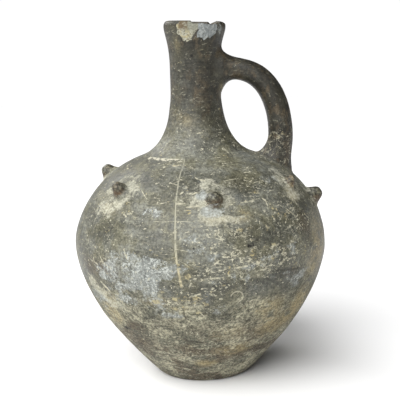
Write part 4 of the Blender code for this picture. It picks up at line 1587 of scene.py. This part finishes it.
shine = paint.between(paint.cut(strokes, 0.3, 0.7), 0.40, 0.52)
shine = paint.between(worn, shine, 0.74)
dull = paint.most(paint.most(chalk, lime), paint.most(ring, scratches))
shine = paint.between(dull, shine, 0.88)
open_clay = paint.most(paint.mask("inside"),
                       paint.most(paint.mask("pale_flake"), paint.mask("broken")))
shine = paint.between(paint.cut(open_clay, 0.2, 0.7), shine, 0.92)


def relief(*parts):
    """The sum of heights, each a value times a number of metres."""
    total = 0.0
    for value, metres in parts:
        total = paint.math("MULTIPLY_ADD", value, metres, total)
    return total


height_map = relief(
    (strokes, 0.00014), (broad_strokes, 0.00022), (grit, 0.00028),
    (paint.times(worn, grit), 0.00050), (mottle, 0.00035),
    (lime, 0.00016), (chalk, 0.00010), (ring, 0.00022),
    (scratches, -0.00035), (pits, -0.0008), (spots, 0.0003),
    (dark_scrapes, -0.0004), (pale_scrapes, -0.0001),
    (paint.times(paint.mask("pale_flake"), granules), 0.0008),
    (paint.times(paint.mask("broken"), granules), 0.0007),
    (paint.times(paint.mask("blue_flake"), granules), 0.0003),
)
bump = paint.nodes.new("ShaderNodeBump")
bump.inputs["Strength"].default_value = 1.0
bump.inputs["Distance"].default_value = 1.0
paint.join(height_map, bump.inputs["Height"])
shader = paint.nodes["Principled BSDF"]
paint.join(colour, shader.inputs["Base Color"])
paint.join(shine, shader.inputs["Roughness"])
paint.join(bump.outputs[0], shader.inputs["Normal"])
shader.inputs["Specular IOR Level"].default_value = GLOSS
print("finished material:", len(paint.nodes), "nodes")

# %% Dress the flask
flask.name = "flask_surface"
flask.data.name = "flask_surface"
flask.data.materials.clear()
flask.data.materials.append(clay)
flask.data.shade_smooth()
print("dressed with", len(flask.data.polygons), "faces")

# %% [markdown]
# ## The camera
# The photograph looks slightly down on the flask from a little above its mouth, and is turned by
# two degrees. We set the camera's three directions ourselves and put them in its matrix as
# columns. A Track To constraint would be quicker, but it can't hold the small roll.

# %% Look from the photograph's place
CAMERA_PLACE = Vector((0.0006, -0.800, 0.2972))
LOOK_DOWN = math.radians(10.53)
CAMERA_ROLL = math.radians(2.07)
SENSOR_WIDTH = 36
FOCAL_LENGTH = 85.03

scene = bpy.context.scene
camera = bpy.data.objects.new("camera", bpy.data.cameras.new("camera"))
scene.collection.objects.link(camera)
forward = Vector((0, math.cos(LOOK_DOWN), -math.sin(LOOK_DOWN)))
sideways = Vector((1, 0, 0))
downward = forward.cross(sideways)
camera_x = math.cos(CAMERA_ROLL) * sideways + math.sin(CAMERA_ROLL) * downward
camera_y = math.sin(CAMERA_ROLL) * sideways - math.cos(CAMERA_ROLL) * downward
facing = Matrix((camera_x, camera_y, -forward)).transposed().to_4x4()
facing.translation = CAMERA_PLACE
camera.matrix_world = facing
camera.data.sensor_width = SENSOR_WIDTH
camera.data.lens = FOCAL_LENGTH
scene.camera = camera
print("camera at", [round(v, 3) for v in CAMERA_PLACE], "with a lens of", FOCAL_LENGTH, "mm")

# %% [markdown]
# ## The floor and the light
# A bare white floor and one very large lamp in front at the upper left are nearly all that such a
# studio needs. The lamp is a sun 62 degrees wide, so the shadow at the right is black under the
# belly and melts away outwards. A weak lamp at the back left draws the edge of the left shoulder.
# The sky is seen as pure white but lights the flask very little, or it would wash the shadow out.

# %% A pale floor
FLOOR_REACH = 3
FLOOR_WHITE = 0.93

floor = bpy.data.objects.new("floor", bpy.data.meshes.new("floor"))
corners = [(x * FLOOR_REACH, y * FLOOR_REACH, 0) for x, y in ((-1, -1), (1, -1), (1, 1), (-1, 1))]
floor.data.from_pydata(corners, [], [(0, 1, 2, 3)])
scene.collection.objects.link(floor)
floor_paint = bpy.data.materials.new("pale_floor")
floor_paint.use_nodes = True
floor_shader = floor_paint.node_tree.nodes["Principled BSDF"]
floor_shader.inputs["Base Color"].default_value = (FLOOR_WHITE, FLOOR_WHITE, FLOOR_WHITE, 1)
floor_shader.inputs["Roughness"].default_value = 0.9
floor.data.materials.append(floor_paint)
floor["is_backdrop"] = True
print("floor of", 2 * FLOOR_REACH, "m, left out of the object")

# %% A white sky
SKY_LIGHT = 0.08
SKY_SEEN = 1.02

scene.view_settings.view_transform = "Standard"
sky = bpy.data.worlds.new("studio_sky")
scene.world = sky
sky.use_nodes = True
sky_nodes, sky_links = sky.node_tree.nodes, sky.node_tree.links
light_sky = sky_nodes["Background"]
light_sky.inputs["Color"].default_value = (1, 1, 1, 1)
light_sky.inputs["Strength"].default_value = SKY_LIGHT
seen_sky = sky_nodes.new("ShaderNodeBackground")
seen_sky.inputs["Color"].default_value = (1, 1, 1, 1)
seen_sky.inputs["Strength"].default_value = SKY_SEEN
path = sky_nodes.new("ShaderNodeLightPath")
which = sky_nodes.new("ShaderNodeMixShader")
sky_links.new(path.outputs["Is Camera Ray"], which.inputs[0])
sky_links.new(light_sky.outputs[0], which.inputs[1])
sky_links.new(seen_sky.outputs[0], which.inputs[2])
sky_links.new(which.outputs[0], sky_nodes["World Output"].inputs["Surface"])
print("sky lights with", SKY_LIGHT, "and is seen as", SKY_SEEN)

# %% Soft light from the upper left
SUN_POWER = 4.75
SUN_SPREAD = math.radians(62)
SUN_WAY = Vector((0.50, 0.88, -1.00))
SOFTBOX_POWER = 11
SOFTBOX_SIZE = 0.8
SOFTBOX_PLACE = Vector((-0.90, 0.80, 1.00))
SOFTBOX_AIM = Vector((0, 0, 0.14))

sun = bpy.data.objects.new("broad_sun", bpy.data.lights.new("broad_sun", "SUN"))
sun.data.energy = SUN_POWER
sun.data.angle = SUN_SPREAD
sun.rotation_euler = SUN_WAY.to_track_quat("-Z", "Y").to_euler()
scene.collection.objects.link(sun)

softbox = bpy.data.objects.new("left_softbox", bpy.data.lights.new("left_softbox", "AREA"))
softbox.data.energy = SOFTBOX_POWER
softbox.data.size = SOFTBOX_SIZE
softbox.location = SOFTBOX_PLACE
softbox.rotation_euler = (SOFTBOX_AIM - SOFTBOX_PLACE).to_track_quat("-Z", "Y").to_euler()
scene.collection.objects.link(softbox)
print("sun of", SUN_POWER, "and a softbox of", SOFTBOX_POWER, "watts")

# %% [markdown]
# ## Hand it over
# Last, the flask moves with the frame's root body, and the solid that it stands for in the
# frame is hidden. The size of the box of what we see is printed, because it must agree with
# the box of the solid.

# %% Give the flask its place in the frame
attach(flask, "root")
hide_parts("flask")
low, high = (list(corner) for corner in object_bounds())
print("box of what we see, in mm:", [round(1000 * (b - a), 1) for a, b in zip(low, high)])
